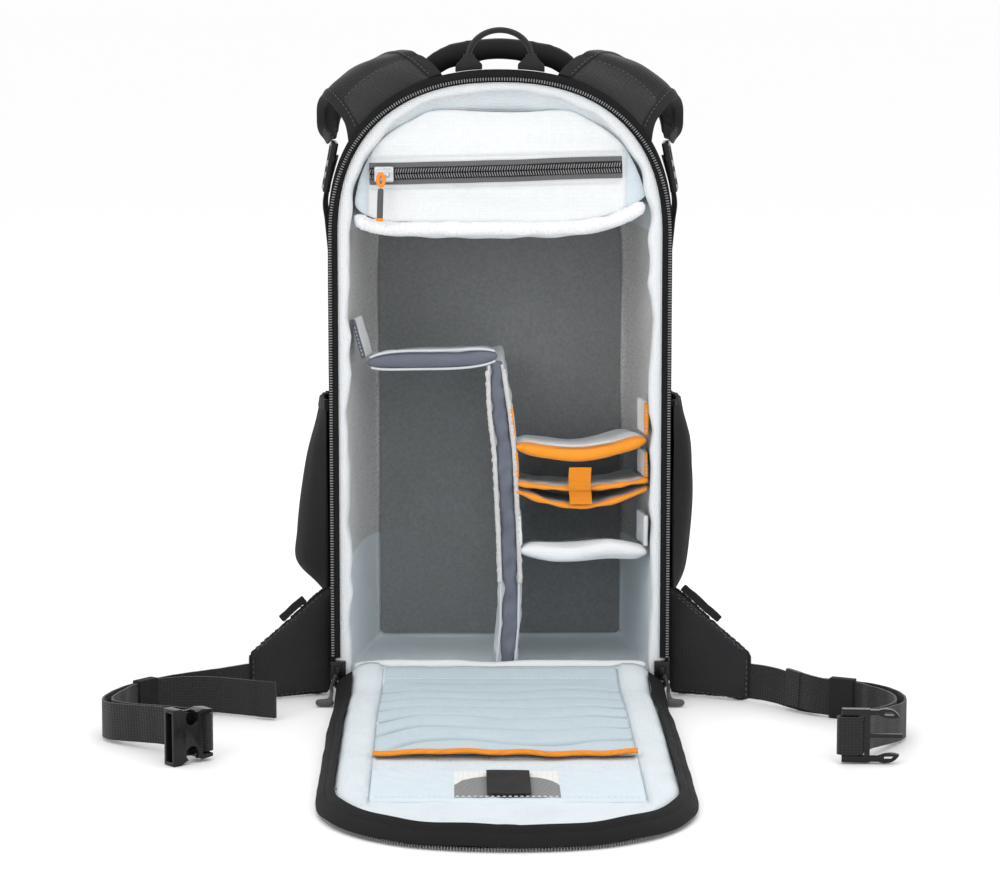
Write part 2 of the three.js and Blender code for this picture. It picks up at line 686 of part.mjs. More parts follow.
function pocketGrid(rows) {
  const columns = 8;
  return rows.map(([up, bulge]) => {
    const z = lerp(pocketBottom, pocketTop, up);
    return Array.from({ length: columns + 1 }, (_, j) => {
      const distance = lerp(pocketFront, pocketBack, j / columns);
      const out = Math.pow(Math.sin((Math.PI * j) / columns), 0.7) * bulge * pocketBulge;
      return vec(-(outsideX(distance, z) + pocketWall / 2 + 0.6 + out), frontY + distance, z);
    });
  });
}

function buildSidePockets() {
  add("side_pocket_left", cloth(pocketGrid(pocketRows.left), pocketWall), blackNylon);
  add("side_pocket_right", cloth(mirroredX(pocketGrid(pocketRows.right)), pocketWall), blackMesh);
}

// A hip wing from its root to its tip, by the share of its reach: distance behind the opening, and top
const wingBack = (out) => lerp(wingRootBack, wingTipBack, out);
const wingTop = (out) => lerp(wingRootHeight, wingTipHeight, out);

function buildWings() {
  const start = outsideX(wingRootBack, 0) + 1.8;
  const grid = [0, 0.33, 0.67, 1].map((out) =>
    [0, 0.35, 0.7, 1].map((t) => vec(-(start + out * wingReach), frontY + wingBack(out), wingTop(out) * t)));
  add("wing_left", cloth(grid, wingWall), blackNylon);
  add("wing_right", cloth(mirroredX(grid), wingWall), blackNylon);

  // Folded webbing tab along each wing's top edge, from one share of the reach to another
  const slope = vec(wingReach, 0, wingTipHeight - wingRootHeight).normalize();
  const tab = (from, to) =>
    [from, to].map((share) =>
      [0.6, 0.6 + wingTabRise].map((rise) => vec(
        -(start + share * wingReach - slope.z * rise),
        frontY + wingBack(share),
        wingTop(share) + slope.x * rise)));
  add("wing_tab_left", cloth(tab(0.26, 0.55), 2 * webbingWall), blackWebbing);
  add("wing_tab_right", cloth(mirroredX(tab(0.1, 0.56)), 2 * webbingWall), blackWebbing);
}

function rectangle(x0, x1, y0, y1) {
  const shape = new THREE.Shape();
  shape.moveTo(x0, y0);
  shape.lineTo(x1, y0);
  shape.lineTo(x1, y1);
  shape.lineTo(x0, y1);
  return shape;
}

// Where each keeper and buckle half stands: across, distance behind the opening, and direction in plan
const keeperStand = {
  left: { x: -248.5, distance: -68.5, along: new THREE.Vector2(0.63, 0.777) },
  right: { x: 240.5, distance: -66, along: new THREE.Vector2(-0.9, 0.436) },
};
const socketStand = { x: -192, distance: -193.2, turn: Math.PI + 0.7 };
const plugStand = { x: 232, distance: -198, turn: -0.06 };

// A point on one layer inside a keeper, by its share along the keeper. Layer is 1 or -1.
function inKeeper({ x, distance, along }, share, layer) {
  const shift = layer * (webbingWall / 2 + keeperSlack);
  return [
    x + share * keeperLength * along.x - shift * along.y,
    distance + share * keeperLength * along.y + shift * along.x,
    0,
  ];
}

// A point in plan beside a standing buckle, from its own length and thickness
const byBuckle = ({ x, distance, turn }, u, v, lift = buckleLift) => [
  x + u * Math.cos(turn) + v * Math.sin(turn),
  distance + u * Math.sin(turn) - v * Math.cos(turn),
  lift,
];

// Route of each hip belt in plan: across, distance behind the opening, and lift of the lower edge.
// It runs from the wing round to the buckle, about its bar, and back through the keeper to the free end.
const leftBelt = [
  [-181.7, -10, 0], [-200, -25, 0], [-219, -38, 0], [-233, -49, 0],
  inKeeper(keeperStand.left, 0.62, 1), inKeeper(keeperStand.left, -0.62, 1),
  [-265, -93, 0], [-270.5, -111, 0], [-271.6, -126, 0], [-267.5, -138, 0.6], [-257.5, -147.5, 1.4],
  [-244, -156, 2.4], [-228, -167.5, 3.8], [-212, -180.5, buckleLift],
  ...[[3.9, 9.6], [3.8, 5.5], [2.7, 2.8], [0, 1.7], [-2.7, 2.8], [-3.8, 5.5], [-3.4, 8.4]].map(([u, v]) =>
    byBuckle(socketStand, u, v)),
  [-203.5, -178.4, buckleLift], [-215, -171.2, 4.4], [-230, -161, 3.4], [-246, -149.2, 1.8],
  [-256.4, -141, 1], [-262.6, -133, 0.5], [-265.4, -124, 0], [-264.6, -111, 0], [-260, -94.5, 0],
  inKeeper(keeperStand.left, -0.62, -1), inKeeper(keeperStand.left, 0.62, -1),
  [-230, -55.6, 0], [-216, -52.4, 0], [-198, -55, 0], [-177, -64, 0], [-157, -72.6, 0],
];
const rightBelt = [
  [181.7, -10, 0], [195, -21.4, 0], [205.5, -34, -0.8], [215, -46.4, -1.2], [224, -54.8, -0.8],
  inKeeper(keeperStand.right, 0.62, -1), inKeeper(keeperStand.right, -0.62, -1),
  [262.5, -78.6, 0], [271.6, -92, 0], [276.8, -108, 0], [277.6, -124, 0], [275, -137, 0.5], [269, -149.6, 1.2],
  [260.4, -162.6, 2.2], [252.6, -174.6, 3.4], [246.4, -186.4, buckleLift],
  ...[[8.6, -1.4], [8.2, 2.5], [7, 4.7], [5, 5.6], [0, 5.8], [-5, 5.6], [-7, 4.7], [-8, 2.5], [-7, -0.2], [-4.6, -1.5]]
    .map(([u, v]) => byBuckle(plugStand, u, v)),
  [235.2, -193, buckleLift], [239.6, -186.6, buckleLift], [246, -176, 3.6], [254, -163.4, 2.2],
  [262.4, -150.4, 1.2], [268.6, -137, 0.5], [271, -123, 0], [270.2, -109, 0], [264.6, -94, 0], [257.4, -83, 0],
  inKeeper(keeperStand.right, -0.62, 1), inKeeper(keeperStand.right, 0.62, 1),
  [221, -58.6, 1.4], [212, -49.8, 2.4], [203.6, -38.6, 3],
];

function beltGrid(route) {
  return route.map(([x, distance, lift]) => {
    const low = webbingLift + lift;
    return [low, low + webbingWidth].map((z) => vec(x, frontY + distance, z));
  });
}

// An elastic band round both layers of a belt
function keeper({ x, distance, along }) {
  const [across, up] = [webbingWall + keeperSlack + 0.4, webbingWidth / 2 + 0.4];
  const outer = rectangle(-across - keeperWall, across + keeperWall, -up - keeperWall, up + keeperWall);
  outer.holes.push(rectangle(-across, across, -up, up));
  const band = new THREE.ExtrudeGeometry(outer, { depth: keeperLength, bevelEnabled: false });
  band.translate(0, 0, -keeperLength / 2);
  band.rotateX(Math.PI / 2);
  band.rotateZ(Math.atan2(along.y, along.x) - Math.PI / 2);
  band.translate(x, frontY + distance, webbingLift + webbingWidth / 2);
  return band;
}

// A flat plate of a buckle, from its outline and the range of its thickness
function buckleSheet(shape, low, high) {
  const sheet = new THREE.ExtrudeGeometry(shape, { depth: high - low, bevelEnabled: false, curveSegments: 5 });
  sheet.translate(0, 0, low);
  return sheet;
}

const buckleSlotHalf = webbingWidth / 2 + 1.1;

// Socket half: a sleeve open at the mouth, with a waist, round side windows and a webbing bar.
// It is built along +X from the middle of its bar.
function buckleSocket() {
  const half = buckleWidth / 2;
  const outline = new THREE.Shape();
  outline.moveTo(-socketBar / 2, -half + 3);
  outline.lineTo(6.5, -half + 2);
  outline.quadraticCurveTo(socketLength * 0.5, -half + 6, socketLength - 6, -half);
  outline.lineTo(socketLength, -half);
  outline.lineTo(socketLength, half);
  outline.lineTo(socketLength - 6, half);
  outline.quadraticCurveTo(socketLength * 0.5, half - 6, 6.5, half - 2);
  outline.lineTo(-socketBar / 2, half - 3);
  const body = buckleSheet(outline, 0, socketWall);
  const mouth = buckleSheet(rectangle(10, socketLength + 1, -half + 2.6, half - 2.6), 2, socketWall - 2);
  const slot = buckleSheet(rectangle(socketBar / 2, 6.5, -buckleSlotHalf, buckleSlotHalf), -1, socketWall + 1);
  const overBar = rectangle(-socketBar, 6.5, -buckleSlotHalf, buckleSlotHalf);
  const barLow = (socketWall - barWall) / 2;
  const front = buckleSheet(overBar, -1, barLow);
  const back = buckleSheet(overBar, barLow + barWall, socketWall + 1);
  const windows = [-1, 1].map((sign) => {
    const window = new THREE.CylinderGeometry(5, 5, 5, 16);
    window.rotateX(Math.PI / 2);
    window.translate(socketLength * 0.5, sign * (half - 7), 0);
    return window;
  });
  return cutFrom(body, mouth, slot, front, back, ...windows);
}

// Plug half: a flat webbing bar, two sprung arms with barbed tips, and a middle guide
function bucklePlug() {
  const half = buckleWidth / 2 - 1;
  const strip = plugBar / 2 + 3.9;
  const frame = rectangle(-plugBar / 2, strip + 3.6, -half, half);
  frame.holes.push(rectangle(plugBar / 2, strip, -buckleSlotHalf, buckleSlotHalf));
  const base = buckleSheet(frame, 0, plugWall);
  const barLow = (plugWall - barWall) / 2 + 0.2;
  const overBar = rectangle(-plugBar, plugBar / 2 + 1, -buckleSlotHalf, buckleSlotHalf);
  const trimmed = cutFrom(base, buckleSheet(overBar, -1, barLow), buckleSheet(overBar, barLow + barWall - 0.4, 9));
  const arm = (sign) => {
    const tip = new THREE.Shape();
    const at = (back, inward) => [plugLength - back, sign * (half - inward)];
    tip.moveTo(strip + 2, sign * (half - 4));
    tip.lineTo(strip + 2, sign * (half - 0.6));
    tip.lineTo(...at(14, 0.6));
    tip.quadraticCurveTo(...at(10, -1), ...at(5, 0.4));
    tip.quadraticCurveTo(...at(1, 2.4), ...at(0, 5.4));
    tip.quadraticCurveTo(...at(7, 7.4), ...at(14, 4));
    const eye = new THREE.Shape();
    eye.moveTo(...at(10, 1.8));
    eye.lineTo(...at(5, 2));
    eye.lineTo(...at(3, 4.2));
    eye.lineTo(...at(10, 4));
    return cutFrom(buckleSheet(tip, 0.4, plugWall - 0.4), buckleSheet(eye, -1, plugWall + 1));
  };
  const guide = buckleSheet(rectangle(strip + 2, plugLength + 2, -1.3, 1.3), 1, plugWall - 1);
  return joined(trimmed, arm(1), arm(-1), guide);
}

// Stands a buckle half on its edge, turned about the vertical
function standBuckle(geometry, { x, distance, turn }) {
  geometry.rotateX(Math.PI / 2);
  geometry.rotateZ(turn);
  geometry.translate(x, frontY + distance, buckleWidth / 2 + 0.2);
  return geometry;
}

function buildBelts() {
  add("belt_left", cloth(beltGrid(leftBelt), webbingWall), blackWebbing);
  add("belt_right", cloth(beltGrid(rightBelt), webbingWall), blackWebbing);
  add("belt_keeper_left", keeper(keeperStand.left), blackWebbing);
  add("belt_keeper_right", keeper(keeperStand.right), blackWebbing);
  add("buckle_socket", standBuckle(buckleSocket(), socketStand), blackPlastic);
  add("buckle_plug", standBuckle(bucklePlug(), plugStand), blackPlastic);
}

// Lines in depth on which the padded dividers are drawn
const depthLines = [0, 0.3, 0.65, 1].map((share) => lerp(dividerFront, dividerBack, share));
const tabLines = [0, 0.5, 1].map((share) => dividerFront + share * tabDepth);

// Middle of the tall divider: height and distance across, from its top to its foot
const tallLine = [
  [250, -4.2], [215, -1.2], [176, 3.2], [120, 6], [85, 7.2], [50, 6.8], [15, 3.4],
];

function tallX(z) {
  const next = Math.max(1, tallLine.findIndex(([height]) => height <= z));
  const [[z0, x0], [z1, x1]] = [tallLine[next - 1], tallLine[next]];
  return lerp(x0, x1, (z - z0) / (z1 - z0));
}

// A padded divider, swollen along its length and pinched to a seam at both ends
const divider = (grid, wall) =>
  cloth(grid, (along) => wall * (0.3 + 0.7 * Math.pow(1 - Math.pow(Math.abs(2 * along - 1), 5), 0.8)));

function buildDividers() {
  const tall = Array.from({ length: 12 }, (_, i) => {
    const z = lerp(skin + 1, shelfHeight - 1, i / 11);
    return depthLines.map((distance) => vec(tallX(z), frontY + distance, z));
  });
  add("tall_divider", cloth(tall, (along) => tallDividerWall * (0.7 + 0.3 * Math.min(1, 6 * (1 - along)))),
    slateFabric);

  const shelf = Array.from({ length: 8 }, (_, i) =>
    depthLines.map((distance) => {
      const x = lerp(8.2 - insideX(distance, shelfHeight), tallX(shelfHeight) - 2, i / 7);
      return vec(x, frontY + distance, shelfHeight + lerp(-shelfSag, shelfTilt, i / 7));
    }));
  add("shelf_divider", divider(shelf, dividerWall), slateFabric);

  const low = Array.from({ length: 8 }, (_, i) =>
    depthLines.map((distance) => {
      const left = tallX(lowShelfHeight) + tallDividerWall / 2 + 1;
      const x = lerp(left, insideX(distance, lowShelfHeight) - 0.6, i / 7);
      return vec(x, frontY + distance, lowShelfHeight + 1.2 * Math.cos(i * 1.3));
    }));
  add("low_divider", divider(low, dividerWall), paleLining);
}

// A sewn tab that stands up a wall from a divider's end, leaning away from the wall at its foot
function wallTab(name, wallX, lean, z0, z1, material) {
  const grid = [0, 0.33, 0.67, 1].map((share) => {
    const z = lerp(z0, z1, share);
    return tabLines.map((distance) =>
      vec(wallX(distance, z) + lean * (1 - share), frontY + distance, z));
  });
  add(name, cloth(grid, tabWall), material);
}

// A tab's foot stands on the pinched end of its divider
const seatRise = dividerWall * 0.15 + 0.4;
const tabClearance = tabWall / 2 + 0.3;
const besideTall = (_, z) => tallX(z) + tallDividerWall / 2 + tabClearance + 0.3;
const besideRight = (distance, z) => insideX(distance, z) - tabClearance - 0.12 * (distance - dividerFront);

function buildTabs() {
  const besideLeft = (distance, z) => tabClearance - insideX(distance, z) + 0.12 * (distance - dividerFront);
  wallTab("shelf_tab", besideLeft, 7.6, shelfHeight - shelfSag + 1.6 * seatRise, shelfHeight + 28, slateFabric);
  wallTab("low_tab_left", besideTall, 0, lowShelfHeight + 1.2 + seatRise, lowShelfHeight + 25, paleLining);
  wallTab("low_tab_right", besideRight, 0, lowShelfHeight + 1.4 * seatRise, lowShelfHeight + 25, paleLining);
  wallTab("band_tab_left", besideTall, 0, organiserHeight + seatRise, organiserHeight + 27, orangeFabric);
  wallTab("band_tab_right", besideRight, 0, organiserHeight + organiserRise + seatRise, organiserHeight + 30, orangeFabric);
}

// A sagging strip between the tall divider and the right wall
function organiserGrid(height, rise, sag, inset) {
  return Array.from({ length: 11 }, (_, i) => {
    const t = i / 10;
    return depthLines.map((distance) => {
      const left = tallX(height) + tallDividerWall / 2 + inset;
      const x = lerp(left, insideX(distance, height) - inset, t);
      return vec(x, frontY + distance, height + rise * t - sag * Math.sin(Math.PI * t));
    });
  });
}

function buildOrganiser() {
  add("organiser_band", divider(organiserGrid(organiserHeight, organiserRise, 9, 1), dividerWall * 0.85), orangeFabric);
  add("organiser_leaf_inner", cloth(organiserGrid(leafHeight + 2.6, 2.6, 5, 0.7), leafWall), orangeFabric);
  add("organiser_leaf_outer", cloth(organiserGrid(leafHeight - 3, 2, organiserSag, 0.7), leafWall), orangeFabric);

  // The strap closes the organiser in front; the sides fold up at its ends
  const middle = organiserStrapAcross * bodyHalfWidth;
  const strap = [15, 6, -4, -12].map((rise) =>
    [-1, 0, 1].map((share) =>
      vec(middle + share * organiserStrapHalf, frontY + dividerFront - tabWall * 0.3 - 0.4, leafHeight + rise)));
  add("organiser_strap", cloth(strap, tabWall * 0.6), orangeFabric);
  for (const [name, wallX] of [["left", besideTall], ["right", besideRight]]) {
    wallTab(`organiser_side_${name}`, wallX, 0, leafHeight + 7.2, leafHeight + 25, orangeFabric);
  }
}

// The curl of the top pouch's floor towards its ends, by the share across
const pouchCurl = (t) => pouchCurlHeight * Math.pow(Math.abs(t), 3.5);

// The pouch's front panel: its bottom edge at a share across, and its distance behind the opening at a point
const panelBottom = (t) => pouchBottom + pouchFloorWall + 0.5 + pouchCurl(t);

function panelDistance(t, z) {
  const up = THREE.MathUtils.clamp((z - panelBottom(0)) / (pouchTop - panelBottom(0)), 0, 1);
  return pouchFront + pouchBelly * (1 - Math.sin(Math.PI * up) * (1 - t * t));
}

function buildPouch() {
  const shares = Array.from({ length: 9 }, (_, j) => j / 4 - 1);
  const panel = Array.from({ length: 9 }, (_, i) => {
    const half = insideX(pouchFront + pouchBelly, lerp(panelBottom(1), pouchTop, i / 8), pouchClearance);
    return shares.map((t) => {
      const z = lerp(panelBottom(t), pouchTop, i / 8);
      return vec(t * half, frontY + panelDistance(t, z), z);
    });
  });
  add("pouch_front", cloth(panel, pouchPanelWall), paleLining);

  const floor = shares.map((t) =>
    [0, 0.3, 0.65, 1].map((share) => {
      const distance = lerp(pouchFront - 1, pouchDepth, share);
      const half = insideX(distance, pouchBottom + pouchFloorWall + pouchCurlHeight, pouchClearance);
      return vec(t * half, frontY + distance, pouchBottom + pouchFloorWall / 2 + pouchCurl(t));
    }));
  add("pouch_floor", cloth(floor, (t) => pouchFloorWall * (0.5 + 0.5 * (1 - Math.pow(Math.abs(2 * t - 1), 6)))),
    paleLining);

  // Zip across the panel, with a raised coil along its middle
  const halfPanel = insideX(pouchFront, pouchZipHeight, pouchClearance);
  const zipRow = (up, bump) =>
    Array.from({ length: 9 }, (_, k) => {
      const x = pouchZipShift + pouchZipLength * (k / 8 - 0.5);
      const z = pouchZipHeight + up * pouchZipWidth + pouchZipTilt * x;
      return vec(x, frontY + panelDistance(x / halfPanel, z) - pouchPanelWall / 2 - bump, z);
    });
  const rows = [[-0.5, 0], [-0.2, 0], [-0.17, 1], [0.17, 1], [0.2, 0], [0.5, 0]];
  const tapeFront = 0.6 + zipTapeWall;
  add("pouch_zip", slab(
    rows.map(([up, bump]) => zipRow(up, tapeFront + 2 * bump)),
    rows.map(([up]) => zipRow(up, 0.6))), zipGrey);

  const sliderX = pouchZipShift - pouchZipLength / 2 + 11;
  const sliderZ = pouchZipHeight + sliderX * pouchZipTilt;
  const zipFace = panelDistance(sliderX / halfPanel, sliderZ) - pouchPanelWall / 2 - tapeFront - 2;
  const sliderFront = frontY + zipFace - 0.8;
  const slider = new THREE.BoxGeometry(14, 4, 11);
  slider.translate(sliderX, sliderFront - 2, sliderZ);
  const bridge = new THREE.BoxGeometry(8, 3, 3.4);
  bridge.translate(sliderX, sliderFront - 5, sliderZ);
  add("pouch_slider", joined(slider, bridge), paleMetal);
  const link = new THREE.BoxGeometry(6.4, 2.6, 11);
  link.translate(sliderX - 2, sliderFront - 8.2, sliderZ - 3.5);
  add("pouch_link", link, orangeFabric);
  const pull = [0, 0.5, 1].map((share) =>
    vec(sliderX - 2.2 - 0.8 * share, sliderFront - 8.2 + share, sliderZ - 9.6 - share * pouchPullLength));
  add("pouch_pull", cordAlong(pull, 4.6, 10), greyRubber);
}

buildBody();
buildMainZip();
buildFlap();
buildSill();
buildSliders();
buildGrabLoop();
buildHandle();
buildShoulderStraps();
buildLowerStraps();
buildSidePockets();
buildWings();
buildBelts();
buildDividers();
buildTabs();
buildOrganiser();
buildPouch();

export default root;
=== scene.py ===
# Camera backpack, standing open with its back panel laid forward on the floor.
# Metres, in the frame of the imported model: +Z up, the opening faces -Y, the floor is at z = 0.
from math import cos, pi, sin

import bpy
import numpy as np
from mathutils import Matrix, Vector


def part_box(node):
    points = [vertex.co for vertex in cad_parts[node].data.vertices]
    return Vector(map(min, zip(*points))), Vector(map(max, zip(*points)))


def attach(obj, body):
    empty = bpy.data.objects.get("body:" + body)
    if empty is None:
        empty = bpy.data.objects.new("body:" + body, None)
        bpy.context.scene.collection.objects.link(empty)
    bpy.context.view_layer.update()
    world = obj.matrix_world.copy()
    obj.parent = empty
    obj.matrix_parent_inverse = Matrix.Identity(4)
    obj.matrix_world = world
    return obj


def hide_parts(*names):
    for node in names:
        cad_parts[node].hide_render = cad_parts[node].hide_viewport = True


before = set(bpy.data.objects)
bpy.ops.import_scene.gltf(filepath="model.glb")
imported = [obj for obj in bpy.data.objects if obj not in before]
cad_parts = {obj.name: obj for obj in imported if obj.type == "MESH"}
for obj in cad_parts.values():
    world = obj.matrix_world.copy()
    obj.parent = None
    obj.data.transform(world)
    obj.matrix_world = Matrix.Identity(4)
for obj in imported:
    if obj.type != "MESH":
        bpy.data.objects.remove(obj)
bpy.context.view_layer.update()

# Camera and studio.
# The bag is seen from in front and a little above, with a long lens, on a white sweep under soft white light.
LOOK_AT = Vector((0, -0.075, 0.190))
camera_data = bpy.data.cameras.new("camera")
camera_data.sensor_width = 36
camera_data.lens = 120.96
camera = bpy.data.objects.new("camera", camera_data)
camera.location = (0, -2.4516, 0.5240)
camera.rotation_euler = (LOOK_AT - camera.location).to_track_quat("-Z", "Y").to_euler()
bpy.context.collection.objects.link(camera)
bpy.context.scene.camera = camera


class Nodes:
    """A node tree written as formulas: each call adds a node and gives one of its outputs."""

    def __init__(self, tree):
        self.tree = tree

    def add(self, kind, inputs=None, output=0, **settings):
        node = self.tree.nodes.new("ShaderNode" + kind)
        for key, value in settings.items():
            setattr(node, key, value)
        for key, value in (inputs or {}).items():
            if isinstance(value, bpy.types.NodeSocket):
                self.tree.links.new(value, node.inputs[key])
            else:
                node.inputs[key].default_value = value
        return node.outputs[output]

    def math(self, operation, *values):
        return self.add("Math", dict(enumerate(values)), operation=operation)

    def span(self, value, low, high, start=0.0, end=1.0):
        """Carries a value that lies between start and end to between low and high."""
        ends = {"From Min": start, "From Max": end, "To Min": low, "To Max": high}
        return self.add("MapRange", {"Value": value} | ends)

    def mix(self, share, first, second):
        first, second = [colour + (1,) if isinstance(colour, tuple) else colour for colour in (first, second)]
        return self.add("MixRGB", {"Fac": share, "Color1": first, "Color2": second})

    def scaled(self, vector, amount):
        return self.add("VectorMath", {0: vector, "Scale": amount}, operation="SCALE")

    def noise(self, vector, scale, detail, roughness=0.5, output="Fac"):
        form = {"Scale": scale, "Detail": detail, "Roughness": roughness}
        return self.add("TexNoise", {"Vector": vector} | form, output)

    def split(self, vector):
        return self.add("SeparateXYZ", {0: vector}).node.outputs


class Material(Nodes):
    """A Principled material whose colour and relief are worked out by nodes."""

    def __init__(self, name, roughness, sheen=0.0, specular=0.5, metallic=0.0):
        self.result = bpy.data.materials.new(name)
        self.result.use_nodes = True
        super().__init__(self.result.node_tree)
        self.shader = self.tree.nodes["Principled BSDF"].inputs
        looks = {"Roughness": roughness, "Sheen Weight": sheen,
                 "Specular IOR Level": specular, "Metallic": metallic}
        for key, value in looks.items():
            self.shader[key].default_value = value
        self.place = self.add("TexCoord", output="Object")

    def grain(self, scale, detail, roughness=0.5):
        return self.noise(self.place, scale, detail, roughness)

    def weave(self, threads, gap):
        """The height and the shade of a plain weave."""
        form = {"Vector": self.place, "Threads": threads, "Gap": gap}
        return self.add("Group", form, node_tree=plain_weave).node.outputs

    def ripstop(self, vector, one, other, thread, scale, smooth=0.1):
        """Squares of thicker thread in a fine cloth: the colour, and where the squares are."""
        colours = {"Color1": one + (1,), "Color2": other + (1,), "Mortar": thread + (1,)}
        form = {"Scale": scale, "Mortar Size": 0.05, "Mortar Smooth": smooth,
                "Brick Width": 1.0, "Row Height": 1.0}
        return self.add("TexBrick", {"Vector": vector} | colours | form, offset=0.0).node.outputs

    def finish(self, colour, height=None, strength=0.0, depth=0.0, roughness=None):
        """Joins the colour, the relief and the roughness to the shader, and gives the material."""
        self.tree.links.new(colour, self.shader["Base Color"])
        if roughness is not None:
            self.tree.links.new(roughness, self.shader["Roughness"])
        if height is not None:
            bump = self.add("Bump", {"Strength": strength, "Distance": depth, "Height": height}, "Normal")
            self.tree.links.new(bump, self.shader["Normal"])
        return self.result


sweep = Material("white_sweep", 0.9)
sweep_grain = sweep.add("TexNoise", {"Scale": 3.0, "Detail": 2.0}, "Fac")
bpy.ops.mesh.primitive_plane_add(size=600, location=(0, 0, 0))
floor = bpy.context.object
floor.name = "floor"
floor.data.materials.append(sweep.finish(sweep.mix(sweep_grain, (0.93, 0.93, 0.93), (0.95, 0.95, 0.95))))

world = bpy.data.worlds.new("studio")
world.use_nodes = True
world.node_tree.nodes["Background"].inputs["Color"].default_value = (1, 1, 1, 1)
world.node_tree.nodes["Background"].inputs["Strength"].default_value = 1.05
bpy.context.scene.world = world
bpy.context.scene.view_settings.view_transform = "Standard"


def softbox(name, place, size, power):
    light = bpy.data.lights.new(name, "AREA")
    light.shape = "RECTANGLE"
    light.size, light.size_y = size
    light.energy = power
    box = bpy.data.objects.new(name, light)
    box.location = place
    box.rotation_euler = (LOOK_AT - Vector(place)).to_track_quat("-Z", "Y").to_euler()
    bpy.context.collection.objects.link(box)


softbox("front_left_light", (-1.5, -2.2, 1.5), (1.2, 1.2), 9)
softbox("front_right_light", (1.5, -2.2, 1.3), (1.2, 1.2), 6)
softbox("top_light", (0, -0.4, 2.2), (1.6, 1.6), 8)
softbox("back_light", (0.3, 2.0, 1.4), (1.4, 1.0), 8)

# Outer shell.
# The outside of the body is charcoal nylon, woven coarse enough to see up close, laminated to a
# thin foam and sewn to the zip all round the opening.
FRONT = -0.075
BODY_HALF = 0.122
BODY_TOP = 0.4515
CROWN = 0.1205
CROWN_POWER = 2.3


def select_only(piece):
    bpy.ops.object.select_all(action="DESELECT")
    piece.select_set(True)
    bpy.context.view_layer.objects.active = piece


def apply_modifier(piece, kind, **settings):
    select_only(piece)
    bpy.ops.object.modifier_add(type=kind)
    modifier = piece.modifiers[-1]
    for key, value in settings.items():
        setattr(modifier, key, value)
    bpy.ops.object.modifier_apply(modifier=modifier.name)


def copy_of(node, name):
    """A piece of its own in the place of a CAD node, with its loose triangles welded and paired."""
    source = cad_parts[node]
    piece = bpy.data.objects.new(name, source.data.copy())
    bpy.context.collection.objects.link(piece)
    piece.data.materials.clear()
    select_only(piece)
    bpy.ops.object.mode_set(mode="EDIT")
    bpy.ops.mesh.select_all(action="SELECT")
    bpy.ops.mesh.remove_doubles(threshold=0.00002)
    bpy.ops.mesh.tris_convert_to_quads(face_threshold=pi / 4, shape_threshold=pi / 2)
    bpy.ops.object.mode_set(mode="OBJECT")
    if piece.data.has_custom_normals:
        bpy.ops.mesh.customdata_custom_splitnormals_clear()
    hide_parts(node)
    return piece


def crease_edges(piece, degrees, strength):
    """Holds the edges that turn more than an angle, so that subdivision rounds them only a little."""
    select_only(piece)
    bpy.ops.object.mode_set(mode="EDIT")
    bpy.ops.mesh.select_all(action="DESELECT")
    bpy.ops.mesh.edges_select_sharp(sharpness=degrees * pi / 180)
    bpy.ops.transform.edge_crease(value=strength)
    bpy.ops.object.mode_set(mode="OBJECT")


def subdivided(piece, levels, kind="CATMULL_CLARK"):
    apply_modifier(piece, "SUBSURF", levels=levels, render_levels=levels, subdivision_type=kind)
    bpy.ops.object.shade_smooth()


def points_of(piece, what="co"):
    """A piece's points, or another value in threes that its vertices have."""
    values = np.empty(len(piece.data.vertices) * 3)
    piece.data.vertices.foreach_get(what, values)
    return values.reshape(-1, 3)


def shape(piece, move):
    """Moves a piece's points by a function of their places, as a sculptor's brush would."""
    moved = move(points_of(piece))
    piece.data.vertices.foreach_set("co", moved.astype(np.float64).ravel())
    piece.data.update()


def xyz(*coordinates):
    """Points from their coordinates, each a number or one for every point."""
    return np.stack(np.broadcast_arrays(*coordinates), axis=1)


def unit(vectors, least=1e-9):
    return vectors / np.maximum(np.linalg.norm(vectors, axis=1), least)[:, None]


def ripple(points, length, seed):
    """Soft random waves of about a given length, from -1 to 1, the same on each run."""
    waves = np.random.default_rng(seed)
    total = 0
    for _ in range(7):
        direction = waves.normal(size=3)
        direction *= waves.uniform(0.7, 1.5) * 2 * pi / length / np.linalg.norm(direction)
        total = total + np.sin(points @ direction + waves.uniform(0, 2 * pi))
    return total / 4


def ease(values, low, high):
    """Goes from 0 at low to 1 at high, with soft ends."""
    share = np.clip((values - low) / (high - low), 0, 1)
    return share * share * (3 - 2 * share)


def ready(piece, material, slot, *nodes):
    """Dresses a finished piece, and hides the CAD nodes that it stands for where its copy didn't."""
    piece.data.materials.clear()
    piece.data.materials.append(material)
    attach(piece, "root")
    if nodes:
        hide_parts(*nodes)


def soft_copy(node, name, degrees, strength, levels):
    """A copy of a CAD node whose edges are rounded as sewn edges are."""
    piece = copy_of(node, name)
    crease_edges(piece, degrees, strength)
    subdivided(piece, levels)
    return piece


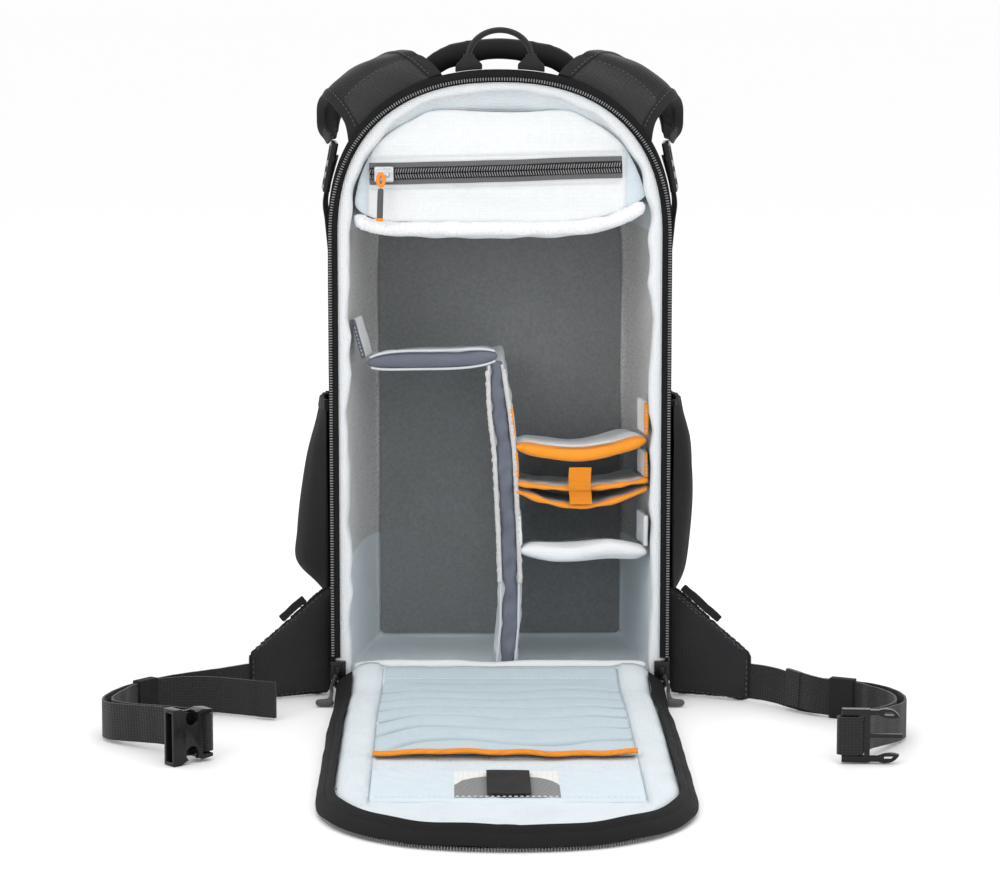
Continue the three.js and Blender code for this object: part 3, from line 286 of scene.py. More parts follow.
def plain_weave_group():
    """Threads over and under one another. Height is the relief and Shade the dark between threads."""
    group = bpy.data.node_groups.new("Plain weave", "ShaderNodeTree")
    for name, way, kind in (
            ("Vector", "INPUT", "Vector"), ("Threads", "INPUT", "Float"), ("Gap", "INPUT", "Float"),
            ("Height", "OUTPUT", "Float"), ("Shade", "OUTPUT", "Float")):
        group.interface.new_socket(name, in_out=way, socket_type="NodeSocket" + kind)
    given = group.nodes.new("NodeGroupInput").outputs
    result = group.nodes.new("NodeGroupOutput").inputs
    nodes = Nodes(group)
    wobble = nodes.noise(given["Vector"], 90.0, 2.0, output="Color")
    shift = {0: wobble, 1: (0.0012, 0.0012, 0.0012), 2: given["Vector"]}
    shifted = nodes.add("VectorMath", shift, operation="MULTIPLY_ADD")
    turned = nodes.scaled(shifted, given["Threads"])
    x, y, z = nodes.split(nodes.add("VectorMath", {0: turned}, operation="SINE"))
    total = nodes.math("ADD", nodes.math("MULTIPLY", x, z), nodes.math("MULTIPLY", x, y))
    total = nodes.math("ADD", total, nodes.math("MULTIPLY", y, z))
    group.links.new(nodes.span(total, 0.0, 1.0, -1.0, 1.0), result["Height"])
    group.links.new(nodes.span(total, given["Gap"], 1.0, -1.0, 0.3), result["Shade"])
    return group


plain_weave = plain_weave_group()


def cloth_material(name, colour, threads, relief, roughness=0.85, mottle=0.12, sheen=0.0, folds=0.0):
    """A woven cloth of one colour: thread relief, dark gaps, soft mottling and a little sheen.

    folds is how much painted shade darkens it in the creases that a piece marks in its attribute "crease".
    """
    made = Material(name, roughness, sheen, 0.25)
    height, shade = made.weave(threads, 0.9 if min(colour) > 0.3 else 0.6)
    patches = made.span(made.grain(26.0, 4.0, 0.6), 1 - mottle, 1 + mottle, 0.3, 0.7)
    amount = made.math("MULTIPLY", patches, shade)
    # Painted shade: the colour is darkened where the piece's "crease" attribute marks a crease.
    if folds:
        crease = made.add("Attribute", output="Fac", attribute_name="crease")
        amount = made.math("MULTIPLY", amount, made.span(crease, 1.0, 1 - folds))
    return made.finish(made.scaled(colour, amount), height, relief, 0.0004)


black_nylon = cloth_material("charcoal_nylon", (0.024, 0.024, 0.026), 5200, 0.7, sheen=0.06)


def settle_shell(points):
    """The sides sag a little between the seams, more at the lower half, and the rim stays straight."""
    _, y, z = points.T
    behind = ease(y, FRONT + 0.006, FRONT + 0.05)
    sag = 0.0011 * np.maximum(0.55 + ripple(points, 0.085, 3), 0) * behind * ease(z, 0.005, 0.04)
    return points + unit(points - [0, 0, 0.22]) * sag[:, None]


shell = soft_copy("shell", "outer_shell", 50, 0.85, 2)
shape(shell, settle_shell)
ready(shell, black_nylon, "black_nylon")

# Padded lining.
# A tub of foam 13 mm thick in white knit, whose rim is pulled in scallops by the seam behind it.
# Both side walls carry a panel of grey brushed loop that the dividers grip, and pale blue cloth elsewhere.
LOOP_LOW = 0.098
LOOP_HIGH = 0.334


def inward(points):
    """Direction from the outline towards the middle of the opening, in the plane of the opening."""
    x, _, z = points.T
    return unit(xyz(-x, 0, -1.1 * np.maximum(z - (BODY_TOP - CROWN), 0)), 0.001)


def settle_lining(points):
    x, y, z = points.T
    near_rim = 1 - ease(y, FRONT + 0.004, FRONT + 0.03)
    over = np.maximum(z - (BODY_TOP - CROWN), 0)
    from_middle = np.sqrt(x ** 2 + (over * 1.03) ** 2)
    inner = 1 - ease(from_middle, BODY_HALF - 0.0125, BODY_HALF - 0.005)
    clear_of_sill = ease(z, 0.03, 0.07)
    scallop = 0.0029 * ripple(points * [1, 0.2, 1], 0.034, 11) * near_rim
    wrinkle = 0.0010 * ripple(points, 0.055, 12) * (1 - near_rim)
    settled = points + inward(points) * ((scallop + wrinkle - 0.0004) * inner * clear_of_sill)[:, None]
    droop = 0.019 * ease(y, FRONT + 0.009, FRONT + 0.018) * inner * ease(z, 0.375, 0.42)
    outer = (1 - inner) * (1 - near_rim) * ease(z, 0.02, 0.05)
    settled = settled + inward(points) * (0.0014 * outer)[:, None]
    return settled - xyz(0, 0, droop)


def knit_rim_material():
    made = Material("padded_lining", 0.8, 0.15, 0.2)
    x, y, z = made.split(made.place)
    edge = made.math("MULTIPLY_ADD", made.grain(420.0, 3.0), 0.006, y)
    behind = made.span(edge, 0.0, 1.0, FRONT + 0.0125, FRONT + 0.0145)
    panel = behind
    for part in (made.math("GREATER_THAN", made.math("ABSOLUTE", x), 0.074),
                 made.span(z, 0.0, 1.0, LOOP_LOW, LOOP_LOW + 0.002),
                 made.span(z, 0.0, 1.0, LOOP_HIGH + 0.002, LOOP_HIGH)):
        panel = made.math("MULTIPLY", panel, part)
    height, shade = made.weave(4200, 0.9)
    knit = made.mix(behind, made.scaled((0.84, 0.86, 0.88), shade), made.scaled((0.74, 0.81, 0.85), shade))
    loops = made.add("TexVoronoi", {"Vector": made.place, "Scale": 700.0}, "Distance")
    tuft = made.span(loops, 1.0, 0.62, 0.0, 0.8)
    colour = made.mix(panel, knit, made.scaled((0.74, 0.73, 0.72), tuft))
    return made.finish(colour, made.mix(panel, height, tuft), 0.6, 0.0006)


lining = soft_copy("lining", "padded_lining", 50, 0.35, 3)
shape(lining, settle_lining)
ready(lining, knit_rim_material(), "pale_lining")

# Far wall.
# Dark grey brushed fabric over a stiff board, which the ends of the dividers grip.
def brushed_material(name, colour, pile):
    """Brushed loop cloth: tufts of a given pile that catch the light at their tips."""
    made = Material(name, 0.95, 0.3, 0.1)
    tufts = made.grain(pile, 5.0, 0.7)
    broad = made.span(made.grain(18.0, 2.0), 0.92, 1.08)
    amount = made.math("MULTIPLY", made.span(tufts, 0.84, 1.14, 0.3, 0.7), broad)
    return made.finish(made.scaled(colour, amount), tufts, 0.5, 0.0005)


board = copy_of("back_board", "far_wall")
select_only(board)
bpy.ops.object.mode_set(mode="EDIT")
bpy.ops.mesh.select_all(action="SELECT")
for _ in range(4):
    bpy.ops.mesh.subdivide(number_cuts=1)
bpy.ops.object.mode_set(mode="OBJECT")
shape(board, lambda points: points - xyz(0, 0.0012 * (1 + ripple(points * [1, 0, 1], 0.16, 21)), 0))
bpy.ops.object.shade_smooth_by_angle(angle=0.6)
ready(board, brushed_material("far_wall_loop", (0.235, 0.245, 0.248), 420.0), "grey_board")

# Threshold.
# A soft roll of white lining across the foot of the opening, where the back panel hinges.
white_lining = cloth_material("white_lining", (0.80, 0.82, 0.84), 4200, 0.5, roughness=0.75, mottle=0.03)
sill = soft_copy("sill", "threshold_roll", 60, 0.2, 3)
shape(sill, lambda points: points + xyz(0, 0, 0.0009 * ripple(points, 0.05, 31)))
ready(sill, white_lining, "pale_lining")

# Main zip on the body.
# A woven tape stitched down all round the opening, with a row of moulded coil teeth along its outer edge.
# At the crown the tape is folded half under, and the teeth run close to the white rim.
ZIP_INSET = 0.005
SILL_HEIGHT = 0.027
ZIP_LENGTH = BODY_TOP - ZIP_INSET - SILL_HEIGHT
TOOTH_PITCH = 0.0019


def arch_line(start, inset, straight, crown, count=40):
    """Half the outline of the opening, from its foot to the top: (across, along) in metres."""
    feet = [(BODY_HALF - inset, start + (straight - start) * k / 8) for k in range(8)]
    angles = np.linspace(0, pi / 2, count)
    power = 2 / CROWN_POWER
    half, rise = BODY_HALF - inset, crown - inset
    bow = [(half * cos(a) ** power, straight + rise * sin(a) ** power) for a in angles[:-1]]
    return feet + bow + [(0, straight + crown - inset)]


def whole_arch(half):
    return half + [(-across, along) for across, along in reversed(half[:-1])]


def route_of(points):
    """A smooth line through points: its place and direction at a distance along it, and its length."""
    knots = np.array(points, float)
    padded_knots = np.vstack([2 * knots[0] - knots[1], knots, 2 * knots[-1] - knots[-2]])
    dense = []
    for a, b, c, d in zip(padded_knots, padded_knots[1:], padded_knots[2:], padded_knots[3:]):
        for t in np.linspace(0, 1, 8, endpoint=False):
            dense.append(b + 0.5 * t * (c - a + t * (2 * a - 5 * b + 4 * c - d + t * (3 * (b - c) + d - a))))
    dense = np.array(dense + [knots[-1]])
    along = np.concatenate([[0], np.cumsum(np.linalg.norm(np.diff(dense, axis=0), axis=1))])

    def place(distance):
        return np.stack([np.interp(distance, along, dense[:, k]) for k in range(3)], axis=1)

    def direction(distance):
        ahead, behind = [place(np.clip(distance + step, 0, along[-1])) for step in (0.0008, -0.0008)]
        return unit(ahead - behind)

    return place, direction, along[-1]


def bend_along(piece, route, up):
    """Bends a piece that lies along +X onto a route. Its Y goes to the left of the way, its Z up."""
    place, direction, length = route

    def move(points):
        distance, left, rise = points.T[:, :, None]
        on_route = np.clip(distance[:, 0], 0, length)
        ahead = direction(on_route)
        side = unit(np.cross(up, ahead))
        past_end = ahead * (distance - on_route[:, None])
        return place(on_route) + past_end + side * left + np.cross(ahead, side) * rise

    shape(piece, move)


def ribbon(name, length, width, columns, rows):
    """A flat grid along +X from 0 to its length, about Y = 0, with its own UV map in metres."""
    bpy.ops.object.select_all(action="DESELECT")
    bpy.ops.mesh.primitive_grid_add(x_subdivisions=columns, y_subdivisions=rows, size=1)
    piece = bpy.context.object
    piece.name = piece.data.name = name
    shape(piece, lambda points: (points + [0.5, 0, 0]) * [length, width, 0])
    layer = piece.data.uv_layers[0]
    uv = np.empty(len(layer.uv) * 2)
    layer.uv.foreach_get("vector", uv)
    uv = uv.reshape(-1, 2) * [length, width]
    layer.uv.foreach_set("vector", uv.ravel())
    return piece


def thicken(piece, wall, offset=0.0):
    apply_modifier(piece, "SOLIDIFY", thickness=wall, offset=offset, use_even_offset=False)

def as_sheet(piece, wall):
    """Gives a sheet its thickness, all of it under its face."""
    thicken(piece, wall, -1.0)
    bpy.ops.object.shade_smooth()


def as_tape(piece, wall):
    """Gives a tape its thickness, half to each side, with its edges kept sharp."""
    thicken(piece, wall)
    bpy.ops.object.shade_smooth_by_angle(angle=0.9)


def repeated(piece, pitch, count):
    apply_modifier(piece, "ARRAY", count=count, use_relative_offset=False, use_constant_offset=True,
                   constant_offset_displace=(pitch, 0, 0))


def tooth(name, size):
    """One moulded tooth with rounded edges, its foot at the origin."""
    bpy.ops.object.select_all(action="DESELECT")
    bpy.ops.mesh.primitive_cube_add(size=1, location=(0, 0, 0.5))
    piece = bpy.context.object
    piece.name = piece.data.name = name
    bpy.ops.object.transform_apply(location=True, rotation=False, scale=False)
    shape(piece, lambda points: points * size * (1 - [0.35, 0.25, 0] * points[:, 2:]))
    apply_modifier(piece, "BEVEL", width=min(size) * 0.3, segments=1)
    return piece


def teeth_row(name, route, up, size, pitch, left, rise, lean=0.0):
    row = tooth(name, np.array(size))
    shape(row, lambda points: points + [pitch / 2, left, rise] + xyz(lean * points[:, 1], 0, 0))
    repeated(row, pitch, int(route[2] / pitch))
    bend_along(row, route, up)
    select_only(row)
    bpy.ops.object.shade_smooth_by_angle(angle=0.9)
    return row


def plastic_material(name, colour, roughness, grain=900.0, level=0.5):
    """Moulded plastic: fine grain, and a faint bloom of dust where it isn't rubbed."""
    made = Material(name, roughness, specular=level)
    broad = made.grain(60.0, 3.0)
    return made.finish(made.scaled(colour, made.span(broad, 0.8, 1.25)), made.grain(grain, 2.0), 0.25, 0.0001,
                       made.span(broad, roughness - 0.08, roughness + 0.12))


TOWARDS_VIEWER = np.array([0.0, -1.0, 0.0])
zip_line = whole_arch(arch_line(0.003, 0, ZIP_LENGTH - (CROWN - ZIP_INSET), CROWN - ZIP_INSET))
body_zip_route = route_of([(x, FRONT - 0.0004, SILL_HEIGHT + along) for x, along in zip_line])


def lay_body_tape(points):
    """The tape is 7 mm wide at the sides and folds to 4 mm at the crown, with a stitched groove along it."""
    distance, left, _ = points.T
    x, _, z = body_zip_route[0](distance).T
    folded = ease(z, 0.331, 0.45)
    width = 0.0070 * (1 - folded) + 0.0040 * folded
    share = left / 0.0105 + 0.5
    groove = 0.0005 * np.exp(-((share - 0.82) / 0.05) ** 2)
    left = -0.0050 * folded + share * (width + 0.0050 * folded)
    return xyz(distance, left, 0.0010 - groove + 0.0002 * ripple(points, 0.02, 41))


zip_tape_cloth = cloth_material("zip_tape", (0.0085, 0.0085, 0.0095), 4200, 0.8, roughness=0.8)
tooth_plastic = plastic_material("zip_teeth", (0.24, 0.24, 0.245), 0.3)
body_tape = ribbon("body_zip_tape", body_zip_route[2], 0.0105, 420, 14)
shape(body_tape, lay_body_tape)
bend_along(body_tape, body_zip_route, TOWARDS_VIEWER)
as_tape(body_tape, 0.0014)
ready(body_tape, zip_tape_cloth, "zip_black", "body_zip")
body_teeth = teeth_row("body_zip_teeth", body_zip_route, TOWARDS_VIEWER, (0.0010, 0.0026, 0.0022),
                       TOOTH_PITCH, 0.0017, 0.0018)
ready(body_teeth, tooth_plastic, "zip_black")

# Back panel, laid forward on the floor.
# A foam pad in charcoal nylon, lined in pale blue, with the other half of the zip round its edge.
# It lies a little askew, and curls up onto the threshold at the hinge.
FLAP_INSET = 0.011
HINGE_GAP = 0.008
HINGE_RUN = 0.048
FLAP_END = HINGE_GAP + ZIP_LENGTH
LINING_TOP = 0.0138


def on_flap(across, ahead, high):
    """A point of the back panel, from its place in the flat panel."""
    tuck = 0.045 + (0.022 - 0.045) * ease(ahead, 0, 3 * HINGE_RUN)
    lift = 0.010 * (1 - ease(ahead, 0, HINGE_RUN))
    return xyz(across * (1 - tuck) + 0.0135 * ahead, FRONT - ahead, high + lift)


def flap_half_width(ahead, inset):
    """Half the panel's width at a distance from the hinge: straight, then a rounded arch."""
    crown = CROWN - ZIP_INSET - inset
    over = np.clip((ahead - (FLAP_END - inset - crown)) / crown, 0, 1)
    return (BODY_HALF - inset) * (1 - over ** CROWN_POWER) ** (1 / CROWN_POWER)


def settle_flap_pad(points):
    z = points[:, 2]
    belly = 0.0014 * ripple(points * [1, 1, 0], 0.09, 51) * ease(z, 0.002, 0.010)
    return points + xyz(0, 0, belly - 0.0006 * ease(z, 0.006, 0.012))


flap_pad = soft_copy("flap_pad", "back_panel_pad", 50, 0.45, 3)
shape(flap_pad, settle_flap_pad)
ready(flap_pad, black_nylon, "black_nylon")

LINING_LENGTH = FLAP_END - FLAP_INSET
SEAM_ACROSS = 0.088


def lay_flap_lining(points):
    """The lining puffs up between its edge, the two long seams and the hinge."""
    ahead = 0.0004 + (LINING_LENGTH - 0.0012) * (points[:, 0] / LINING_LENGTH) ** 0.85
    half = flap_half_width(ahead, FLAP_INSET - 0.0005)
    share = points[:, 1] / 0.5
    across = share * half
    edge = np.minimum(half - np.abs(across), FLAP_END - FLAP_INSET - ahead + 0.001)
    puff = 0.0030 * ease(edge, -0.001, 0.012) - 0.0024 * (1 - ease(edge, 0, 0.004))
    seam = 0.0017 * np.exp(-((np.abs(across) - SEAM_ACROSS - 0.0012) / 0.0013) ** 2)
    middle = 0.0024 * (1 - ease(np.abs(across), SEAM_ACROSS - 0.003, SEAM_ACROSS + 0.001))
    flat = xyz(across, ahead, 0)
    margin = ease(np.abs(across), SEAM_ACROSS, SEAM_ACROSS + 0.01)
    puckers = 0.0007 * ripple(flat * [0.35, 1.6, 0], 0.03, 52) * margin
    folds = 0.0004 * ripple(flat, 0.05, 53)
    high = LINING_TOP - 0.0008 + puff - seam - middle + puckers + folds
    return on_flap(across, ahead, np.maximum(high, LINING_TOP - 0.0030))


flap_lining = ribbon("back_panel_lining", LINING_LENGTH, 1.0, 130, 110)
shape(flap_lining, lay_flap_lining)
as_sheet(flap_lining, 0.0012)
white_margin = cloth_material("panel_lining", (0.68, 0.74, 0.78), 4200, 0.45, 0.7, mottle=0.03, sheen=0.1)
ready(flap_lining, white_margin, "blue_lining", "flap_lining")

# Stitches.
# Every seam that shows is a row of short thread stitches, sunk a little into the cloth.
def stitches(name, points, material, slot, up, pitch=0.0036, length=0.0026, wall=0.0007):
    """A row of stitches along a line of points."""
    bpy.ops.object.select_all(action="DESELECT")
    bpy.ops.mesh.primitive_uv_sphere_add(segments=6, ring_count=4, radius=0.5)
    row = bpy.context.object
    row.name = row.data.name = name
    shape(row, lambda p: p[:, [2, 0, 1]] * [length, wall, wall * 0.8] + [pitch / 2, 0, 0])
    route = route_of(points)
    repeated(row, pitch, int(route[2] / pitch))
    bend_along(row, route, np.array(up, float))
    select_only(row)
    bpy.ops.object.shade_smooth()
    ready(row, material, slot)


def thread_material(name, colour):
    made = Material(name, 0.6, 0.2)
    twist = made.add("TexWave", {"Vector": made.place, "Scale": 900.0, "Distortion": 2.0}, "Fac")
    return made.finish(made.scaled(colour, made.span(twist, 0.8, 1.1)), twist, 0.4, 0.0002)


pale_thread = thread_material("pale_thread", (0.78, 0.82, 0.85))
black_thread = thread_material("black_thread", (0.045, 0.045, 0.048))
seam_thread = thread_material("seam_thread", (0.40, 0.49, 0.54))
UP = (0, 0, 1)
SIDES = {"left": -1, "right": 1}


def flap_line(across, ahead, high):
    """Points along a straight line on the back panel; across and ahead are each a number or a pair."""
    share = np.linspace(0, 1, 14)
    ends = [np.broadcast_to(value, 2) for value in (across, ahead)]
    xs, ys = [first + (last - first) * share for first, last in ends]
    return on_flap(xs, ys, high)


for side, sign in SIDES.items():
    outer_seam = flap_line(sign * (SEAM_ACROSS + 0.0040), (0.012, 0.372), LINING_TOP + 0.0012)
    stitches(f"panel_seam_{side}", outer_seam, pale_thread, "blue_lining", UP)
    sleeve_seam = flap_line(sign * SEAM_ACROSS, (0.010, 0.366), LINING_TOP + 0.0014)
    stitches(f"sleeve_edge_{side}", sleeve_seam, seam_thread, "blue_lining", UP, 0.0040, 0.0043, 0.0009)

# Sleeve on the back panel.
# A wide pocket of pale blue cloth gathered into soft cross pleats, whose mouth is bound in orange.
# The pleats' creases are darkened with painted shade.
SLEEVE_START = 0.008
SLEEVE_LENGTH = 0.234
SLEEVE_TOP = LINING_TOP + 0.0004

def on_sleeve(points):
    """Where points of the flat sleeve come: their share of its length, their distance across and place."""
    share = points[:, 0] / SLEEVE_LENGTH
    across = points[:, 1] / 0.5 * (SEAM_ACROSS - 0.0005)
    return share, across, xyz(across, SLEEVE_LENGTH * share, 0)


def pleats(points):
    """The sleeve's pleats before it is laid: each point's pleat, how open it is, and how deep the crease
    (also its painted shade).
    """
    share, across, flat = on_sleeve(points)
    drift = 0.95 * ripple(flat * [1, 0.6, 0], 0.19, 54) + 0.45 * across / SEAM_ACROSS
    turn = 7.5 * share ** 0.9 + drift
    strength = 0.28 + 0.65 * ripple(flat * [1, 1.2, 0], 0.10, 49) + 0.55 * np.abs(across) / SEAM_ACROSS
    fade = ease(share, 0.07, 0.16) * (1 - 0.5 * ease(share, 0.88, 0.97))
    return turn, fade, np.clip(strength, 0.05, 1) * np.exp(-((turn - np.round(turn)) / 0.085) ** 2)


def lay_sleeve(points):
    share, across, flat = on_sleeve(points)
    turn, fade, crease = pleats(points)
    pleat = 0.4 * np.abs(np.sin(pi * turn)) + 1 - crease
    hold = 0.35 + 0.65 * ease(SEAM_ACROSS - np.abs(across), 0, 0.03)
    mouth = 0.0020 * ease(share, 0.93, 1.0) * (0.6 + 0.5 * ripple(flat * [1, 0, 0], 0.07, 55))
    small = 0.0004 * ripple(flat * [0.5, 1, 0], 0.03, 56) * fade
    high = SLEEVE_TOP + 0.0004 + 0.0025 * pleat * fade * hold + small + mouth
    return on_flap(across, SLEEVE_START + SLEEVE_LENGTH * share, high)


sleeve = ribbon("sleeve_pocket_cloth", SLEEVE_LENGTH, 1.0, 190, 70)
# Each crease's depth is written to the "crease" attribute as painted shade for the material.
_, sleeve_fade, sleeve_crease_shade = pleats(points_of(sleeve))
crease_shade_mark = sleeve.data.attributes.new("crease", "FLOAT", "POINT")
crease_shade_mark.data.foreach_set("value", (sleeve_fade * sleeve_crease_shade).astype(np.float32))
shape(sleeve, lay_sleeve)
as_sheet(sleeve, 0.0010)
# The cloth is painted up to 42 percent darker along the pleats' creases, as shade.
blue_cloth = cloth_material("pale_blue_lining", (0.52, 0.615, 0.67), 4200, 0.45, 0.7, mottle=0.03, sheen=0.1,
                            folds=0.42)
ready(sleeve, blue_cloth, "blue_lining", "sleeve_pocket")
stitches("sleeve_top_stitches", flap_line((-0.084, 0.084), SLEEVE_START + 0.019, SLEEVE_TOP + 0.0019),
         pale_thread, "blue_lining", UP)

orange_cloth = cloth_material("orange_cloth", (0.90, 0.29, 0.012), 4600, 0.45, 0.65, mottle=0.05, sheen=0.1)
TRIM_WIDTH = 0.0062


def lay_trim(points):
    along, ahead, _ = points.T
    across = along - SEAM_ACROSS
    flat = xyz(across, 0, 0)
    wave = 0.5 + 0.5 * ripple(flat, 0.035, 57)
    share = ahead / TRIM_WIDTH + 0.5
    roll = 0.0017 * np.sin(pi * np.clip(share, 0, 1)) + 0.0026 * wave
    shift = 0.0019 * ripple(flat + [0.3, 0, 0], 0.040, 58)
    ahead = SLEEVE_START + SLEEVE_LENGTH + 0.0004 + shift + share * TRIM_WIDTH
    return on_flap(across, ahead, SLEEVE_TOP + 0.0016 + roll)


trim = ribbon("sleeve_binding", 2 * SEAM_ACROSS, TRIM_WIDTH, 120, 8)
shape(trim, lay_trim)
as_sheet(trim, 0.0012)
ready(trim, orange_cloth, "orange_fabric", "sleeve_trim")

# Card pocket.
# A flat band across the panel with a grey mesh window between corners of white ripstop, holding a dark tab.
BAND_START = 0.281
BAND_END = 0.360
WINDOW_HALF = 0.034
WINDOW_START = BAND_END - 0.075


def lay_band(points):
    along, across, _ = points.T
    flat = xyz(across, along, 0)
    across = across / 0.5 * (SEAM_ACROSS - 0.0006)
    edge = np.minimum(ease(along, 0, 0.004), ease(BAND_END - BAND_START - along, 0, 0.004))
    window = ease(WINDOW_HALF + 0.003 - np.abs(across), 0, 0.003) * ease(along, 0.001, 0.004)
    puckers = 0.0003 * ripple(flat * [0.3, 1.6, 0], 0.024, 59)
    high = SLEEVE_TOP - 0.0004 + 0.0022 * edge - 0.0006 * window + puckers
    return on_flap(across, BAND_START + along, high)


def band_material():
    """Pale blue cloth round a window of coarse grey mesh, whose far corners are white ripstop."""
    made = Material("card_band", 0.75, specular=0.2)
    along, share, _ = made.split(made.add("UVMap", uv_map="UVMap"))
    side = made.math("ABSOLUTE", made.math("MULTIPLY", made.math("SUBTRACT", share, 0.5), 2 * SEAM_ACROSS))
    strip = made.math("MULTIPLY", made.math("GREATER_THAN", along, WINDOW_START - BAND_START),
                      made.math("LESS_THAN", along, BAND_END - BAND_START - 0.005))
    window = made.math("MULTIPLY", made.math("LESS_THAN", side, WINDOW_HALF), strip)
    square = made.math("MULTIPLY", side, side)
    arch = made.math("MULTIPLY_ADD", made.math("MULTIPLY", square, square), 16000.0, 0.019)
    net = made.add("TexWave", {"Vector": made.place, "Scale": 200.0, "Distortion": 0.8, "Detail": 1.0}, "Fac",
                   bands_direction="DIAGONAL")
    strand = made.span(net, 0.10, 0.36)
    squares, _ = made.ripstop(made.place, (0.78, 0.78, 0.76), (0.74, 0.74, 0.72), (0.64, 0.64, 0.63), 300.0)
    pane = made.mix(made.math("GREATER_THAN", along, arch), squares, strand)
    cloth = made.scaled((0.64, 0.72, 0.77), made.weave(4200, 0.9)[1])
    return made.finish(made.mix(window, cloth, pane), strand, 0.5, 0.0004)


band = ribbon("card_pocket_band", BAND_END - BAND_START, 1.0, 50, 110)
shape(band, lay_band)
as_sheet(band, 0.0008)
ready(band, band_material(), "blue_lining", "card_band", "card_window")
for name, ahead in (("near", BAND_START + 0.001), ("far", BAND_END - 0.0035)):
    stitches(f"card_pocket_{name}_stitches", flap_line((-0.085, 0.085), ahead, SLEEVE_TOP + 0.0026),
             pale_thread, "blue_lining", UP)

TAB_START = WINDOW_START + 0.008
TAB_END = BAND_END - 0.006


def lay_tab(points):
    along, across, _ = points.T
    flat = xyz(across, along, 0)
    return on_flap(across + 0.001, TAB_START + along, SLEEVE_TOP + 0.0034 + 0.0003 * ripple(flat, 0.02, 60))


tab_satin = cloth_material("tab_satin", (0.018, 0.019, 0.021), 5200, 0.3, roughness=0.4, mottle=0.05)
tab = ribbon("card_tab", TAB_END - TAB_START, 0.028, 20, 12)
shape(tab, lay_tab)
as_tape(tab, 0.0009)
ready(tab, tab_satin, "black_webbing", "card_tag")

# Zip round the back panel.
# The tape stands off the panel's edge in a soft roll with two stitched lines. Its teeth face down and out.
flap_zip_line = whole_arch(arch_line(0.004, 0, ZIP_LENGTH - (CROWN - ZIP_INSET), CROWN - ZIP_INSET, 60))
flap_zip_line = np.array(flap_zip_line)
flap_route = route_of(on_flap(flap_zip_line[:, 0], HINGE_GAP + flap_zip_line[:, 1], 0 * flap_zip_line[:, 0]))
ROLL = np.array([
    (0.0001, 0.0030), (0.0006, 0.0048), (0.0020, 0.0068), (0.0040, 0.0086), (0.0052, 0.0094),
    (0.0056, 0.0091), (0.0060, 0.0098), (0.0078, 0.0118), (0.0090, 0.0128), (0.0094, 0.0126),
    (0.0098, 0.0132), (0.0108, 0.0136)])


def lay_roll(points):
    distance, left, _ = points.T
    share = (left / 0.5 + 1) / 2 * (len(ROLL) - 1)
    knots = np.arange(len(ROLL))
    flat = xyz(distance, 0, 0)
    inside = np.interp(share, knots, ROLL[:, 0]) + 0.0003 * ripple(flat, 0.04, 61)
    high = np.interp(share, knots, ROLL[:, 1]) + 0.0005 * ripple(flat, 0.06, 62)
    return xyz(distance, -inside, high)


roll = ribbon("panel_zip_tape", flap_route[2], 1.0, 420, 30)
shape(roll, lay_roll)
bend_along(roll, flap_route, UP)
as_sheet(roll, 0.0013)
ready(roll, zip_tape_cloth, "zip_black", "flap_zip")
flap_teeth = teeth_row("panel_zip_teeth", flap_route, UP, (0.0008, 0.0019, 0.0024),
                       TOOTH_PITCH, -0.0008, 0.0006)
ready(flap_teeth, tooth_plastic, "zip_black")

# Dividers.
# Foam boards in sleeves of cloth. The front edge is slate blue between two lines of white piping, and the
# faces are pale. The tall one stands on the threshold, and the shelf and the low divider grip its flanks.
TAPER = np.array([(0, 1, 1), (0.18, 1.012, 1), (0.45, 0.99, 0.992), (0.7, 0.96, 0.975), (0.88, 0.92, 0.945),
                  (0.97, 0.875, 0.915)])
SKIN = 0.0153
INSIDE_DEPTH = 0.1347
DIVIDER_FRONT = FRONT + 0.012
DIVIDER_BACK = FRONT + 0.114
DIVIDER_HALF = 0.00575
TALL_HALF = 0.0065
TALL_LINE = np.array([(0.015, 0.0034), (0.050, 0.0068), (0.085, 0.0072), (0.120, 0.0060), (0.176, 0.0032),
                      (0.215, -0.0012), (0.250, -0.0042)])


def half_width(share, z, inset):
    """Half the body's width within an inset, at a share of its depth and a height."""
    wide = BODY_HALF * np.interp(share, TAPER[:, 0], TAPER[:, 1])
    top = BODY_TOP * np.interp(share, TAPER[:, 0], TAPER[:, 2])
    crown = CROWN * wide / BODY_HALF
    over = np.clip((z - (top - crown)) / (crown - inset), 0, 1)
    return (wide - inset) * (1 - over ** CROWN_POWER) ** (1 / CROWN_POWER)


def inside_half(distance, z, clearance=0.0006):
    return half_width(0.97 * distance / INSIDE_DEPTH, z, SKIN + clearance)


def tall_across(z):
    return np.interp(z, TALL_LINE[:, 0], TALL_LINE[:, 1])


def close_up(piece):
    """Merges the seam of a rolled-up grid, closes its ends and turns its faces out."""
    select_only(piece)
    bpy.ops.object.mode_set(mode="EDIT")
    bpy.ops.mesh.select_all(action="SELECT")
    bpy.ops.mesh.remove_doubles(threshold=0.00002)
    bpy.ops.mesh.select_all(action="DESELECT")
    bpy.ops.mesh.select_non_manifold()
    bpy.ops.mesh.fill_holes(sides=0)
    bpy.ops.mesh.select_all(action="SELECT")
    bpy.ops.mesh.normals_make_consistent(inside=False)
    bpy.ops.object.mode_set(mode="OBJECT")
    bpy.ops.object.shade_smooth()


def swell(piece, amount):
    """Moves a surface out along its own normals, by a distance given for each of its points."""
    normals = points_of(piece, "normal")
    shape(piece, lambda points: points + normals * amount(points)[:, None])


def rumple(piece, amount, length, seed, stretch=(1, 1, 1)):
    """Pushes a surface in and out in soft waves."""
    swell(piece, lambda points: amount * ripple(points * stretch, length, seed))


